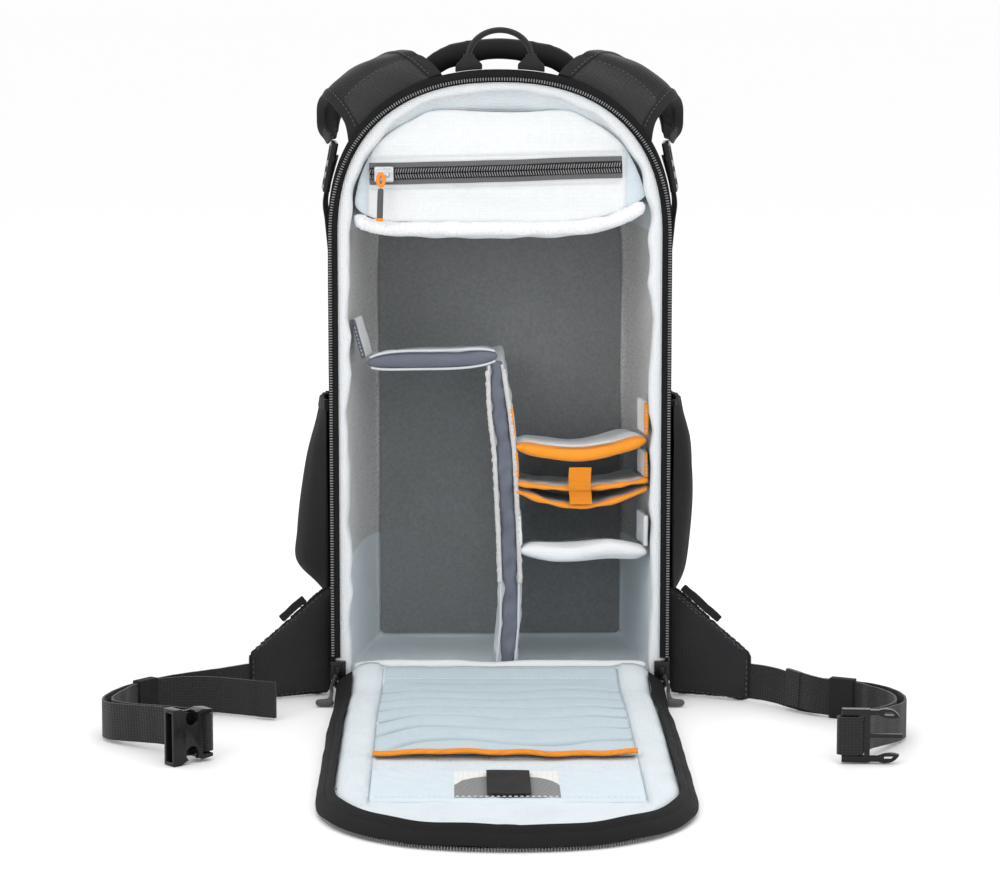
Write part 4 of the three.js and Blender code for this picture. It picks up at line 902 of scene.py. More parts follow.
def plumped(piece, voxel, cap):
    """Lets the filling of a stuffed piece press its cover out, each point by no more than a cap."""
    apply_modifier(piece, "REMESH", mode="VOXEL", voxel_size=voxel)
    start = points_of(piece)
    select_only(piece)
    bpy.ops.object.modifier_add(type="CLOTH")
    cover = piece.modifiers[-1]
    cover.settings.use_pressure = True
    cover.settings.uniform_pressure_force = 4
    cover.settings.effector_weights.gravity = 0
    cover.point_cache.frame_start = 1
    cover.point_cache.frame_end = 20
    for moment in range(1, 21):
        bpy.context.scene.frame_set(moment)
    bpy.ops.object.modifier_apply(modifier=cover.name)
    bpy.context.scene.frame_set(1)

    def hold_back(points):
        moved = points - start
        far = np.maximum(np.linalg.norm(moved, axis=1), 1e-9)
        limit = cap * (0.85 + 0.15 * ripple(start, 0.03, 6))
        return start + moved * np.minimum(1, limit / far)[:, None]

    shape(piece, hold_back)
    subdivided(piece, 1)


def beside(line, share, distance, off, y):
    """Points off a board's middle line, square to its run, at a given place from front to back."""
    across, up = line(share, distance).T
    run_across, run_up = unit(line(share + 0.01, distance) - line(share - 0.01, distance)).T
    return xyz(across - run_up * off, y, up + run_across * off)


def padded_bar(name, line, half_wall, columns=90, rows=56, crown=0.0014, corner=0.55):
    """A stuffed board: line gives its middle, across and up, at a share of its length and a distance back."""
    piece = ribbon(name, 1.0, 1.0, columns, rows)

    def lay(points):
        share = points[:, 0]
        angle = 2 * pi * points[:, 1]
        deep = np.sign(np.cos(angle)) * np.abs(np.cos(angle)) ** 0.25
        thick = np.sign(np.sin(angle)) * np.abs(np.sin(angle)) ** corner
        y = (DIVIDER_FRONT + DIVIDER_BACK) / 2 - deep * (DIVIDER_BACK - DIVIDER_FRONT) / 2
        puff = crown * (1 - thick ** 2) * ease(deep, 0.85, 0.97)
        return beside(line, share, y - FRONT, thick * half_wall(share, y - FRONT), y - puff)

    shape(piece, lay)
    close_up(piece)
    return piece


def tube(name, points, radius, columns, sides=8, taper=False):
    """A round cord along a line of points, with closed ends."""
    route = route_of(points)
    piece = ribbon(name, route[2], 1.0, columns, sides)

    def roll_up(flat):
        angle = 2 * pi * flat[:, 1]
        ends = 1
        if taper:
            ends = np.sqrt(np.clip(np.minimum(flat[:, 0], route[2] - flat[:, 0]) / radius, 0.02, 1))
        return xyz(flat[:, 0], radius * ends * np.cos(angle), radius * ends * np.sin(angle))

    shape(piece, roll_up)
    bend_along(piece, route, np.array([0.0, -1.0, 0.02]))
    close_up(piece)
    return piece


def pinch(share):
    return 0.3 + 0.7 * (1 - np.abs(2 * np.clip(share, 0, 1) - 1) ** 5) ** 0.8


def bound_material(name, front, back, edge, threads=4200, roughness=0.6, relief=0.45):
    """Cloth of one colour in front of a distance and of another behind it, as where a binding ends."""
    made = Material(name, roughness, 0.2, 0.3)
    height, shade = made.weave(threads, 0.88)
    amount = made.math("MULTIPLY", made.span(made.grain(45.0, 3.0), 0.88, 1.12), shade)
    both = made.mix(made.span(made.split(made.place)[1], 0.0, 1.0, edge, edge + 0.0004), front, back)
    return made.finish(made.scaled(both, amount), height, relief, 0.0004)


SLATE = (0.135, 0.148, 0.190)
PALE = (0.72, 0.77, 0.80)
WHITE = (0.83, 0.85, 0.86)
ORANGE = (0.93, 0.32, 0.012)
slate_cloth = bound_material("slate_front", SLATE, PALE, DIVIDER_FRONT + 0.0042, threads=5200, roughness=0.5)
white_piping = cloth_material("white_piping", (0.64, 0.68, 0.71), 5200, 0.4, roughness=0.7, mottle=0.04)
pile_cloth = brushed_material("pale_pile", (0.62, 0.61, 0.60), 900.0)


def shelf_line(share, distance):
    left = 0.0112 - inside_half(distance, 0.245)
    right = tall_across(0.245) + 0.003
    up = 0.242 + 0.005 * share + 0.0006 * np.sin(7 * share) - sink(distance)
    return xyz(left + (right - left) * share, up)


def tall_line(share, distance):
    z = 0.0163 + (0.244 - 0.0163) * share
    return xyz(tall_across(z) + 0 * distance, z)


def low_line(share, distance):
    left = tall_across(0.106) + TALL_HALF + 0.001
    right = inside_half(distance, 0.106) - 0.0006
    return xyz(left + (right - left) * share, 0.1050 + 0.0012 * np.cos(9.1 * share) - 1.7 * sink(distance))


def tall_wall(share, distance):
    return TALL_HALF * (0.7 + 0.3 * np.minimum(1, 6 * (1 - np.clip(share, 0, 1)))) * 1.06


def divider_wall(share, distance):
    """Half the thickness of a board, fattest at its front edge."""
    return DIVIDER_HALF * pinch(share) * (1 + 0.22 * (1 - ease(distance, 0.012, 0.034)))


def sink(distance):
    """How far a board's far edge hangs below its front edge."""
    return 0.0075 * ease(distance, 0.010, 0.100)


def piping(name, line, half_wall, side, low=0.0, high=1.0, radius=0.0009, material=white_piping):
    """A line of piping along one front edge of a padded board."""
    share = np.linspace(low, high, 40)
    distance = 0 * share + 0.012
    points = beside(line, share, distance, side * half_wall(share, distance) * 0.94, DIVIDER_FRONT + 0.0014)
    cord = tube(name, points, radius, 120)
    ready(cord, material, "pale_lining")
    return cord


def padded_board(name, node, line, half_wall, material, slot, fill, waves, plump=True, **form):
    """A stuffed board in the place of a CAD node, rumpled in waves and dressed."""
    piece = padded_bar(name, line, half_wall, **form)
    if plump:
        plumped(piece, 0.0025, 0.0012)
    rumple(piece, *waves)
    ready(piece, material, slot, node)


padded_board("tall_divider_board", "tall_divider", tall_line, tall_wall, slate_cloth, "slate_fabric", 0.8,
             (0.0013, 0.013, 71, (1.2, 0.4, 0.9)), columns=150, crown=0.0010)
padded_board("shelf_board", "shelf_divider", shelf_line, divider_wall, slate_cloth, "slate_fabric", 0.8,
             (0.0004, 0.030, 72))
for name, side in (("upper", 1), ("lower", -1)):
    piping(f"shelf_piping_{name}", shelf_line, divider_wall, side, 0.03, 0.97)
for name, side in (("left", 1), ("right", -1)):
    piping(f"tall_piping_{name}", tall_line, tall_wall, side, 0.0, 0.985)
    pile = piping(f"tall_pile_{name}", tall_line, lambda share, distance: tall_wall(share, distance) + 0.0009,
                  side, 0.29, 0.97, 0.0017, pile_cloth)
    rumple(pile, 0.0005, 0.0022, 73)
ripstop_white = cloth_material("ripstop_white", (0.82, 0.84, 0.86), 3600, 0.4, roughness=0.55, mottle=0.03)
padded_board("low_divider_board", "low_divider", low_line, divider_wall, ripstop_white, "pale_lining", 0.9,
             (0.0005, 0.030, 74))

# Tabs of the dividers.
# Each divider ends in a sewn tab that stands up the wall beside it and grips it. The front edge of a tab is
# bound in slate, orange or white, with a row of stitches down it.
def sewn_tab(node, material, slot, across):
    tab_piece = soft_copy(node, node + "_cloth", 60, 0.5, 3)
    rumple(tab_piece, 0.0004, 0.02, 80)
    ready(tab_piece, material, slot)
    (_, front, low), (_, _, high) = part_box(node)
    heights = np.linspace(low + 0.002, high - 0.002, 8)
    line = xyz(across(heights), front - 0.0002, heights)
    stitches(node + "_stitches", line, pale_thread, slot, TOWARDS_VIEWER, 0.0028, 0.0019, 0.0005)


TAB_GAP = 0.0015
shelf_tab_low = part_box("shelf_tab")[0][2]
slate_tab = bound_material("slate_tab", (0.10, 0.108, 0.135), WHITE, DIVIDER_FRONT + 0.0030)
orange_tab = bound_material("orange_tab", ORANGE, WHITE, DIVIDER_FRONT + 0.0045)
pile_tab = bound_material("white_tab", WHITE, PALE, DIVIDER_FRONT + 0.0045)
sewn_tab("shelf_tab", slate_tab, "slate_fabric",
         lambda z: TAB_GAP - inside_half(0.012, z) + 0.0076 * (0.273 - z) / (0.273 - shelf_tab_low))
for node, material, slot in (("band_tab", orange_tab, "orange_fabric"), ("low_tab", pile_tab, "pale_lining"),
                             ("organiser_side", orange_tab, "orange_fabric")):
    sewn_tab(f"{node}_left", material, slot, lambda z: tall_across(z) + TALL_HALF + TAB_GAP + 0.0003)
    sewn_tab(f"{node}_right", material, slot, lambda z: inside_half(0.012, z) - TAB_GAP)

# Organiser.
# A padded orange band slung between the tall divider and the wall, and under it a pocket of two orange-edged
# leaves lined in white. A short strap closes the pocket in front.
ORGANISER = 0.183
LEAF = 0.152


def slung_line(height, rise, sag, inset):
    def line(share, distance):
        left = tall_across(height) + TALL_HALF + inset
        right = inside_half(distance, height) - inset
        bow = np.sin(pi * np.clip(share, 0, 1))
        return xyz(left + (right - left) * share, height + rise * share - sag * bow - sink(distance))
    return line


def leaf_wall(share, distance):
    return 0.0015 + 0.0009 * (1 - ease(distance, 0.017, 0.019))


def organiser_wall(share, distance):
    return 0.85 * divider_wall(share, distance)


organiser_line = slung_line(ORGANISER, 0.005, 0.009, 0.001)
orange_front = bound_material("orange_front", ORANGE, WHITE, DIVIDER_FRONT + 0.0072, roughness=0.5)
padded_board("organiser_roll", "organiser_band", organiser_line, organiser_wall, orange_front,
             "orange_fabric", 0.7, (0.0007, 0.022, 81, (1, 0.5, 0.5)), crown=0.0020)
piping("organiser_piping", organiser_line, organiser_wall, 1, 0.3, 0.75, 0.0008)
leaf_cloth = bound_material("leaf_cloth", ORANGE, WHITE, DIVIDER_FRONT + 0.0035, roughness=0.55)
for name, line, seed in (("inner", slung_line(LEAF + 0.0026, 0.0026, 0.005, 0.0007), 82),
                         ("outer", slung_line(LEAF - 0.003, 0.002, 0.012, 0.0007), 83)):
    padded_board(f"organiser_leaf_{name}_cloth", f"organiser_leaf_{name}", line, leaf_wall, leaf_cloth,
                 "orange_fabric", 0.2, (0.0006, 0.016, seed, (1, 0.3, 0.2)), plump=False, crown=0.0008)


def lay_strap(points):
    drop, across, _ = points.T
    z = LEAF + 0.0148 - drop
    over_inner = np.exp(-((z - LEAF) / 0.004) ** 2)
    over_outer = np.exp(-((z - LEAF + 0.0115) / 0.004) ** 2)
    fold = 0.0007 * ease(z, LEAF - 0.0022, LEAF - 0.0014)
    y = DIVIDER_FRONT - 0.0012 - 0.0012 * over_inner - 0.0014 * over_outer - fold
    return xyz(0.0578 + across + 0.0006 * np.sin(150 * z), y, z)


strap = ribbon("organiser_strap_cloth", 0.0266, 0.016, 60, 16)
shape(strap, lay_strap)
as_tape(strap, 0.0012)
ready(strap, orange_cloth, "orange_fabric", "organiser_strap")

# Top pouch.
# A zipped pouch of white ripstop across the crown of the bag. Its front panel is sewn to pale blue gussets at
# both ends, and its padded floor has a thick brushed edge.
POUCH_FRONT = 0.007
POUCH_BELLY = 0.004
PANEL_LOW = 0.3425
POUCH_TOP = 0.426
POUCH_CLEARANCE = 0.0009
ZIP_HEIGHT = 0.380
ZIP_TILT = 0.028
SEAM_LEFT = -0.0935
SEAM_RIGHT = 0.0892


def panel_y(x, z):
    """The face of the pouch's front panel."""
    t = np.clip(x / inside_half(POUCH_FRONT, z, POUCH_CLEARANCE), -1, 1)
    up = np.clip((z - PANEL_LOW) / (POUCH_TOP - PANEL_LOW), 0, 1)
    return FRONT + POUCH_FRONT + POUCH_BELLY * (1 - np.sin(pi * up) * (1 - t * t)) - 0.002


def pouch_curl(share):
    """How far the pouch's lower edge curls up towards its ends: late at the left, early at the right."""
    return np.where(share < 0, 0.011 * np.abs(share) ** 12, 0.019 * np.abs(share) ** 4.5)


def let_down(points):
    """Lets the lower corners of the pouch down to its edge."""
    x, _, z = points.T
    share = np.clip(x / inside_half(POUCH_FRONT, 0.345, POUCH_CLEARANCE), -1, 1)
    drop = (0.016 * np.abs(share) ** 3.5 - pouch_curl(share)) * (1 - ease(z, 0.350, 0.378))
    return points - xyz(0, 0, drop)


def settle_panel(points):
    points = let_down(points)
    x, y, z = points.T
    seam = np.exp(-((x - SEAM_LEFT) / 0.0016) ** 2) + np.exp(-((x - SEAM_RIGHT) / 0.0016) ** 2)
    beside = z - ZIP_HEIGHT - ZIP_TILT * x
    zip_seam = np.exp(-((np.abs(beside) - 0.0105) / 0.0016) ** 2)
    soft = ease(np.abs(beside), 0.008, 0.02)
    folds = 0.0011 * ripple(points * [0.6, 0, 1.5], 0.045, 91) * soft
    folds += 0.0007 * ripple(points * [1.6, 0, 0.5], 0.03, 92) * soft
    top = (0.0009 * ripple(points * [1, 0, 0], 0.050, 93) - 0.0045) * ease(z, 0.395, POUCH_TOP)
    return points + xyz(0, 0.0010 * seam + 0.0008 * zip_seam + folds, top)


def panel_material():
    """White ripstop between the two end seams, and pale blue cloth beyond them."""
    made = Material("pouch_panel", 0.5, 0.1, 0.35)
    x, _, z = made.split(made.place)
    outside = made.math("ADD", made.math("LESS_THAN", x, SEAM_LEFT), made.math("GREATER_THAN", x, SEAM_RIGHT))
    grid, thread = made.ripstop(made.add("CombineXYZ", {0: x, 1: z}), (0.84, 0.86, 0.87), (0.82, 0.84, 0.85),
                                (0.81, 0.83, 0.845), 330.0, 0.4)
    whole = made.mix(outside, grid, (0.66, 0.74, 0.79))
    return made.finish(made.scaled(whole, made.weave(6000, 0.9)[1]), thread, 0.4, 0.0003)


panel = soft_copy("pouch_front", "pouch_panel", 60, 0.3, 4)
shape(panel, settle_panel)
ready(panel, panel_material(), "pale_lining")

pouch_base = soft_copy("pouch_floor", "pouch_base", 60, 0.15, 3)
shape(pouch_base, let_down)
rumple(pouch_base, 0.0008, 0.03, 94)
ready(pouch_base, white_lining, "pale_lining")

POUCH_EDGE = np.linspace(-0.985, 0.985, 60)
pouch_edge_across = POUCH_EDGE * inside_half(0.008, 0.345, POUCH_CLEARANCE) * 0.985
pouch_edge_line = xyz(pouch_edge_across, FRONT + 0.0080, 0.3386 + pouch_curl(POUCH_EDGE))
pouch_edge = tube("pouch_pile_edge", pouch_edge_line, 0.0050, 260, 18, taper=True)
rumple(pouch_edge, 0.0003, 0.0030, 95)
rumple(pouch_edge, 0.0006, 0.024, 96)
ready(pouch_edge, brushed_material("white_pile", (0.84, 0.85, 0.86), 600.0), "pale_lining")


def on_panel(xs, zs, lift):
    return xyz(xs, panel_y(xs, zs) - lift, zs)


zip_across = np.linspace(-0.0925, 0.0865, 24)
pouch_zip_route = route_of(on_panel(zip_across, ZIP_HEIGHT + ZIP_TILT * zip_across, 0.0014))
for name, off in (("above", 0.0108), ("below", -0.0106)):
    stitches(f"pouch_stitches_{name}", on_panel(zip_across, ZIP_HEIGHT + off + ZIP_TILT * zip_across, 0.0002),
             pale_thread, "pale_lining", (0, -1, 0), pitch=0.0034, length=0.0022, wall=0.0006)
seam_heights = np.linspace(0.352, 0.396, 10)
for name, seam_x in (("left", SEAM_LEFT), ("right", SEAM_RIGHT)):
    stitches(f"pouch_end_seam_{name}", on_panel(seam_x + 0 * seam_heights, seam_heights, 0.0),
             pale_thread, "pale_lining", (0, -1, 0), pitch=0.0032, length=0.0024, wall=0.0007)

# Zip of the top pouch.
# A broad grey tape with a thick coil, a metal slider, an orange link and a grey rubber pull tipped in orange.
TAPE_WIDTH = 0.0155


def two_tone_tape():
    """Grey woven tape, dark where the coil is sewn down its middle."""
    made = Material("grey_zip_tape", 0.8, specular=0.25)
    where = made.add("UVMap", uv_map="UVMap")
    off = made.math("ABSOLUTE", made.math("SUBTRACT", made.split(where)[1], TAPE_WIDTH / 2))
    both = made.mix(made.span(off, 0.0, 1.0, 0.0040, 0.0046), (0.022, 0.022, 0.024), (0.15, 0.15, 0.157))
    warp = made.add("TexWave", {"Vector": where, "Scale": 260.0, "Distortion": 1.0}, "Fac")
    return made.finish(made.scaled(both, made.span(warp, 0.85, 1.1)), warp, 0.6, 0.0003)


def settle_pouch_tape(points):
    """The tape wanders a little and stands up along its middle, over the coil's core."""
    wander = 0.0004 * ripple(points * [1, 0, 0], 0.05, 97)
    core = 0.0005 * np.exp(-(points[:, 1] / 0.003) ** 2)
    return points + xyz(0, wander, core + 0.0003 * ripple(points, 0.02, 98))


pouch_tape = ribbon("pouch_zip_tape", pouch_zip_route[2], TAPE_WIDTH, 180, 16)
shape(pouch_tape, settle_pouch_tape)
bend_along(pouch_tape, pouch_zip_route, TOWARDS_VIEWER)
as_tape(pouch_tape, 0.0010)
ready(pouch_tape, two_tone_tape(), "zip_grey", "pouch_zip")
coil_plastic = plastic_material("grey_coil", (0.26, 0.26, 0.265), 0.25)
for name, side in (("upper", 1), ("lower", -1)):
    coil = teeth_row(f"pouch_coil_{name}", pouch_zip_route, TOWARDS_VIEWER, (0.0010, 0.0036, 0.0022), 0.0018,
                     side * 0.0019, 0.0013, 0.30 * side)
    ready(coil, coil_plastic, "zip_grey")


def moulded(node, name, material, slot, bevel, segments=3):
    """A moulded or cast part: its CAD form with its edges rounded."""
    piece = copy_of(node, name)
    apply_modifier(piece, "BEVEL", width=bevel, segments=segments, limit_method="ANGLE", angle_limit=0.5)
    bpy.ops.object.shade_smooth_by_angle(angle=0.7)
    ready(piece, material, slot)


def metal_material(name, colour, roughness):
    made = Material(name, roughness, metallic=1.0)
    fine = made.grain(700.0, 3.0)
    return made.finish(made.scaled(colour, made.span(fine, 0.8, 1.1)),
                       roughness=made.span(fine, roughness - 0.1, roughness + 0.15))


cast_zinc = metal_material("cast_zinc", (0.66, 0.67, 0.69), 0.28)
moulded("pouch_slider", "pouch_slider_body", cast_zinc, "pale_metal", 0.0021)
orange_plastic = plastic_material("orange_plastic", (0.90, 0.26, 0.01), 0.4)
link_low, link_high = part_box("pouch_link")
link_middle = [(a + b) / 2 for a, b in zip(link_low, link_high)]
link_turn = np.linspace(0.6, 2 * pi + 0.6, 24)
link_rise = (link_high[2] - link_low[2] - 0.0026) / 2
link_line = xyz(link_middle[0] + 0.0022 * np.cos(link_turn), link_low[1] + 0.0010,
                link_middle[2] + link_rise * np.sin(link_turn))
pouch_link = tube("pouch_link_loop", link_line, 0.0013, 60, 10)
ready(pouch_link, orange_plastic, "orange_fabric", "pouch_link")
grey_rubber = plastic_material("grey_rubber", (0.075, 0.076, 0.080), 0.55)
pouch_pull = copy_of("pouch_pull", "pouch_pull_cord")
subdivided(pouch_pull, 1)
ready(pouch_pull, grey_rubber, "grey_rubber")
pull_low, pull_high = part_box("pouch_pull")
pull_x = pull_low[0] + 0.0023
pull_tip = tube("pouch_pull_tip", [(pull_x, pull_low[1] + 0.0032, pull_low[2] + 0.0026),
                                   (pull_x, pull_low[1] + 0.0033, pull_low[2] + 0.0004)], 0.0025, 6, 12)
ready(pull_tip, orange_plastic, "orange_fabric")

# Shoulder straps.
# Padded straps of dark air mesh, sewn to the body along the arch of the opening. The end beside the arch is a
# band of plain nylon, both long edges are bound, and the far ends curl down to their ladder locks.
BODY_DEPTH = 0.150
STRAP_ROWS = [
    ((0.869, 0.035, 0), (0.33, 0.035, 0), 0), ((0.889, 0.067, 0.912), (0.381, 0.073, 1.003), 9),
    ((0.945, 0.113, 0.934), (0.447, 0.12, 1.0145), 9), ((1.012, 0.187, 0.951), (0.52, 0.173, 1.0205), 8),
    ((1.049, 0.267, 0.939), (0.631, 0.4, 1.016), 6.5), ((1.053, 0.293, 0.919), (0.803, 0.6, 0.985), 5),
    ((1.041, 0.267, 0.899), (0.959, 0.6, 0.93), 2.5), ((0.992, 0.147, 0.886), (0.992, 0.36, 0.886), 0)]


def crown_height(x, clearance):
    """Height of the top of the body beside the opening, at a distance across."""
    over = np.clip(np.abs(x) / (BODY_HALF + clearance), 0, 1)
    return BODY_TOP - CROWN + (CROWN + clearance) * (1 - over ** CROWN_POWER) ** (1 / CROWN_POWER)


def patch(control):
    """A smooth surface through rows of points: its place at a share along and a share across."""
    control = np.array(control, float)

    def taps(share, count):
        step = np.clip(share, 0, 1) * (count - 1)
        base = np.minimum(step.astype(int), count - 2)
        t = (step - base)[:, None]
        index = np.clip(base[:, None] + np.arange(-1, 3), 0, count - 1)
        weights = [-t + 2 * t ** 2 - t ** 3, 2 - 5 * t ** 2 + 3 * t ** 3,
                   t + 4 * t ** 2 - 3 * t ** 3, t ** 3 - t ** 2]
        return index, np.hstack(weights) / 2

    def at(along, across):
        rows, row_weights = taps(along, control.shape[0])
        columns, column_weights = taps(across, control.shape[1])
        near = control[rows[:, :, None], columns[:, None, :]]
        return np.einsum("ka,kb,kabc->kc", row_weights, column_weights, near)

    return at


def normal_of(at, along, across):
    step = 0.01
    one = at(along + step, across) - at(along - step, across)
    other = at(along, across + step) - at(along, across - step)
    return unit(np.cross(one, other))


def mirrored(at):
    return lambda along, across: at(along, across) * [-1, 1, 1]


def laid_on(name, at, along, across, size, grid, wall):
    """Cloth of a given size, laid on part of a surface: ranges along and across, then grid and thickness."""
    piece = ribbon(name, size[0], size[1], grid[0], grid[1])

    def lay(points):
        s = along[0] + (along[1] - along[0]) * points[:, 0] / size[0]
        t = across[0] + (across[1] - across[0]) * (points[:, 1] / size[1] + 0.5)
        return at(s, t)

    shape(piece, lay)
    thicken(piece, wall)
    crease_edges(piece, 60, 0.25)
    subdivided(piece, 1)
    return piece


strap_control = []
for k, (front, rear, bow) in enumerate(STRAP_ROWS):
    row = []
    for j in range(7):
        across, back, up = [a + (b - a) * j / 6 for a, b in zip(front, rear)]
        point = np.array([-across * BODY_HALF, FRONT + back * BODY_DEPTH, up * BODY_TOP])
        if k == 0:
            point[2] = crown_height(point[0], -0.0010)
        else:
            point += np.array([-0.68, 0, 0.73]) * bow * 0.004 * j * (6 - j) / 36
        row.append(point)
    strap_control.append(row)
strap_at = patch(strap_control)


def air_mesh_material():
    """Air mesh with rows of small holes, and a band of plain nylon at its sewn end."""
    made = Material("air_mesh", 0.85, 0.15, 0.25)
    where = made.add("UVMap", uv_map="UVMap")
    mesh_part = made.math("GREATER_THAN", made.split(where)[0], 0.023)
    holes = made.add("TexVoronoi", {"Vector": where, "Scale": 620.0, "Randomness": 0.15}, "Distance")
    height = made.mix(mesh_part, made.weave(5200, 0.6)[0], made.span(holes, 0.0, 1.0, 0.15, 0.45))
    colour = made.mix(mesh_part, (0.034, 0.034, 0.036), (0.013, 0.013, 0.014))
    return made.finish(made.scaled(colour, made.span(height, 0.55, 1.1)), height, 0.9, 0.0005)


def surface_seam(name, at, along, across, lift, wall):
    """A row of stitches along a line on a surface, on its upper side."""
    up = normal_of(at, along, across)
    up *= np.sign(up[:, 2:3])
    stitches(name, at(along, across) + lift * up, black_thread, "black_nylon", up.mean(axis=0), wall=wall)


air_mesh = air_mesh_material()
binding_cloth = cloth_material("edge_binding", (0.014, 0.014, 0.015), 6200, 0.5, roughness=0.75, sheen=0.06)
STRAP_LONG = 0.085
STRAP_WIDE = 0.075
edge_along = np.linspace(0.04, 0.8, 16)
band_across = np.linspace(0.14, 0.85, 18)
for side, at in (("left", strap_at), ("right", mirrored(strap_at))):
    strap_pad = laid_on(f"shoulder_strap_{side}_pad", at, (0, 1), (0.03, 0.97), (STRAP_LONG, STRAP_WIDE),
                        (44, 36), 0.0056)
    rumple(strap_pad, 0.0006, 0.03, 101)
    ready(strap_pad, air_mesh, "black_mesh", f"shoulder_strap_{side}")
    for edge, low_share, high_share, seam in (("outer", 0.0, 0.13, 0.105), ("inner", 0.86, 1.0, 0.885)):
        tape = laid_on(f"strap_binding_{edge}_{side}", at, (0, 0.97), (low_share, high_share),
                       (STRAP_LONG, 0.011), (44, 8), 0.0074)
        ready(tape, binding_cloth, "black_nylon")
        surface_seam(f"strap_stitches_{edge}_{side}", at, edge_along, 0 * edge_along + seam, 0.0039, 0.0008)
    surface_seam(f"strap_band_seam_{side}", at, 0 * band_across + 0.27, band_across, 0.0030, 0.0009)

# Ladder locks.
# Glossy moulded plastic, one at the end of each shoulder strap, through which the lower webbing is threaded.
gloss_plastic = plastic_material("gloss_plastic", (0.006, 0.006, 0.0065), 0.24, level=0.3)
for side in ("left", "right"):
    moulded(f"ladder_lock_{side}", f"ladder_lock_{side}_frame", gloss_plastic, "black_plastic", 0.0007, 2)

# Carry handle and grab loop.
# The handle is a roll of smooth nylon over foam. The grab loop is a braided cord between two feet of folded
# webbing, sewn on behind the zip.
smooth_nylon = cloth_material("smooth_nylon", (0.007, 0.007, 0.0078), 7000, 0.3, 0.7, mottle=0.06, sheen=0.04)
handle = soft_copy("carry_handle", "handle_roll", 80, 0.3, 2)
plumped(handle, 0.0030, 0.0020)
rumple(handle, 0.0005, 0.03, 111)
ready(handle, smooth_nylon, "black_nylon")


def webbing_material(name, colour, ribs, rows):
    """Woven webbing on its own UV map in metres: lengthwise chains of ribs with cross picks between them."""
    made = Material(name, 0.75, 0.15, 0.3)
    along, across, _ = made.split(made.add("UVMap", uv_map="UVMap"))
    rib = made.math("SINE", made.math("MULTIPLY", across, ribs))
    pick = made.math("SINE", made.math("MULTIPLY_ADD", rib, 1.3, made.math("MULTIPLY", along, rows)))
    both = made.math("ADD", rib, pick)
    return made.finish(made.scaled(colour, made.span(both, 0.45, 1.15, -1.6, 1.0)),
                       made.span(both, 0.0, 1.0, -2.0, 2.0), 0.9, 0.0006)


FOOT_TOP = float(crown_height(0.022, 0.0004)) + 0.011
FOOT_ACROSS = 0.022
FOOT_SIZE = 0.019
LOOP_RISE = 0.019
loop_angle = np.linspace(-0.35, pi + 0.35, 26)
on_arch = np.clip(loop_angle, 0, pi)
loop_line = xyz(-FOOT_ACROSS * np.cos(on_arch), FRONT + 0.004,
                FOOT_TOP - 0.002 + LOOP_RISE * np.sin(on_arch)
                + 0.012 * (np.minimum(loop_angle, 0) - np.maximum(loop_angle - pi, 0)))
loop_cord = tube("grab_loop_cord", loop_line, 0.0021, 110, 12)
braid = webbing_material("braided_cord", (0.018, 0.018, 0.019), 2 * pi * 6, 2 * pi * 620)
ready(loop_cord, braid, "black_webbing", "grab_loop")
foot_webbing = webbing_material("loop_webbing", (0.017, 0.017, 0.018), 2 * pi * 700, 2 * pi * 500)
for side, sign in SIDES.items():
    foot = ribbon(f"grab_loop_foot_{side}", FOOT_SIZE, FOOT_SIZE, 18, 16)

    def lay_foot(points):
        up = points[:, 0] / FOOT_SIZE
        x = sign * FOOT_ACROSS + points[:, 1] * (1 - 0.60 * ease(up, 0.25, 0.95))
        ground = crown_height(x, 0.0006)
        top = FOOT_TOP - 0.0003 * np.abs(points[:, 1] / 0.0095) ** 2
        return xyz(x, FRONT + 0.004 - 0.0010 * np.sin(pi * up), ground + (top - ground) * up)

    shape(foot, lay_foot)
    thicken(foot, 0.0034)
    crease_edges(foot, 60, 0.3)
    subdivided(foot, 1)
    ready(foot, foot_webbing, "black_webbing")

# Lower straps.
# Narrow webbing from each ladder lock, down behind the side pocket and forward onto the hip wing.
LOWER_ROWS = [
    (0.222, 0.862, 5.6, 0), (0.247, 0.797, 4.6, 0), (0.307, 0.757, 2.4, 0), (0.387, 0.709, 1.6, 0),
    (0.527, 0.642, 1.6, 0), (0.68, 0.554, 1.6, 0), (0.735, 0.443, 1.6, 0), (0.735, 0.27, 1.6, 0),
    (0.69, 0.19, 1.8, 0.35), (0.55, 0.128, 2.6, 0.85), (0.37, 0.119, 3, 1), (0.19, 0.119, 3.4, 1)]
WEBBING = 0.0254
lower_control = []
for back, up, off, lean in LOWER_ROWS:
    angle = lean * pi / 2
    row = []
    for share in (-0.5, 0, 0.5):
        distance = back * BODY_DEPTH + share * WEBBING * cos(angle)
        z = up * BODY_TOP + share * WEBBING * sin(angle)
        row.append((-(half_width(distance / BODY_DEPTH, z, 0) + off / 1000), FRONT + distance, z))
    lower_control.append(row)
lower_at = patch(lower_control)
black_web = webbing_material("black_webbing_weave", (0.015, 0.015, 0.016), 2 * pi * 520, 2 * pi * 420)
for side, at in (("left", lower_at), ("right", mirrored(lower_at))):
    webbing = laid_on(f"lower_strap_{side}_webbing", at, (0, 1), (0, 1), (0.36, WEBBING), (110, 8), 0.0015)
    ready(webbing, black_web, "black_webbing", f"lower_strap_{side}")

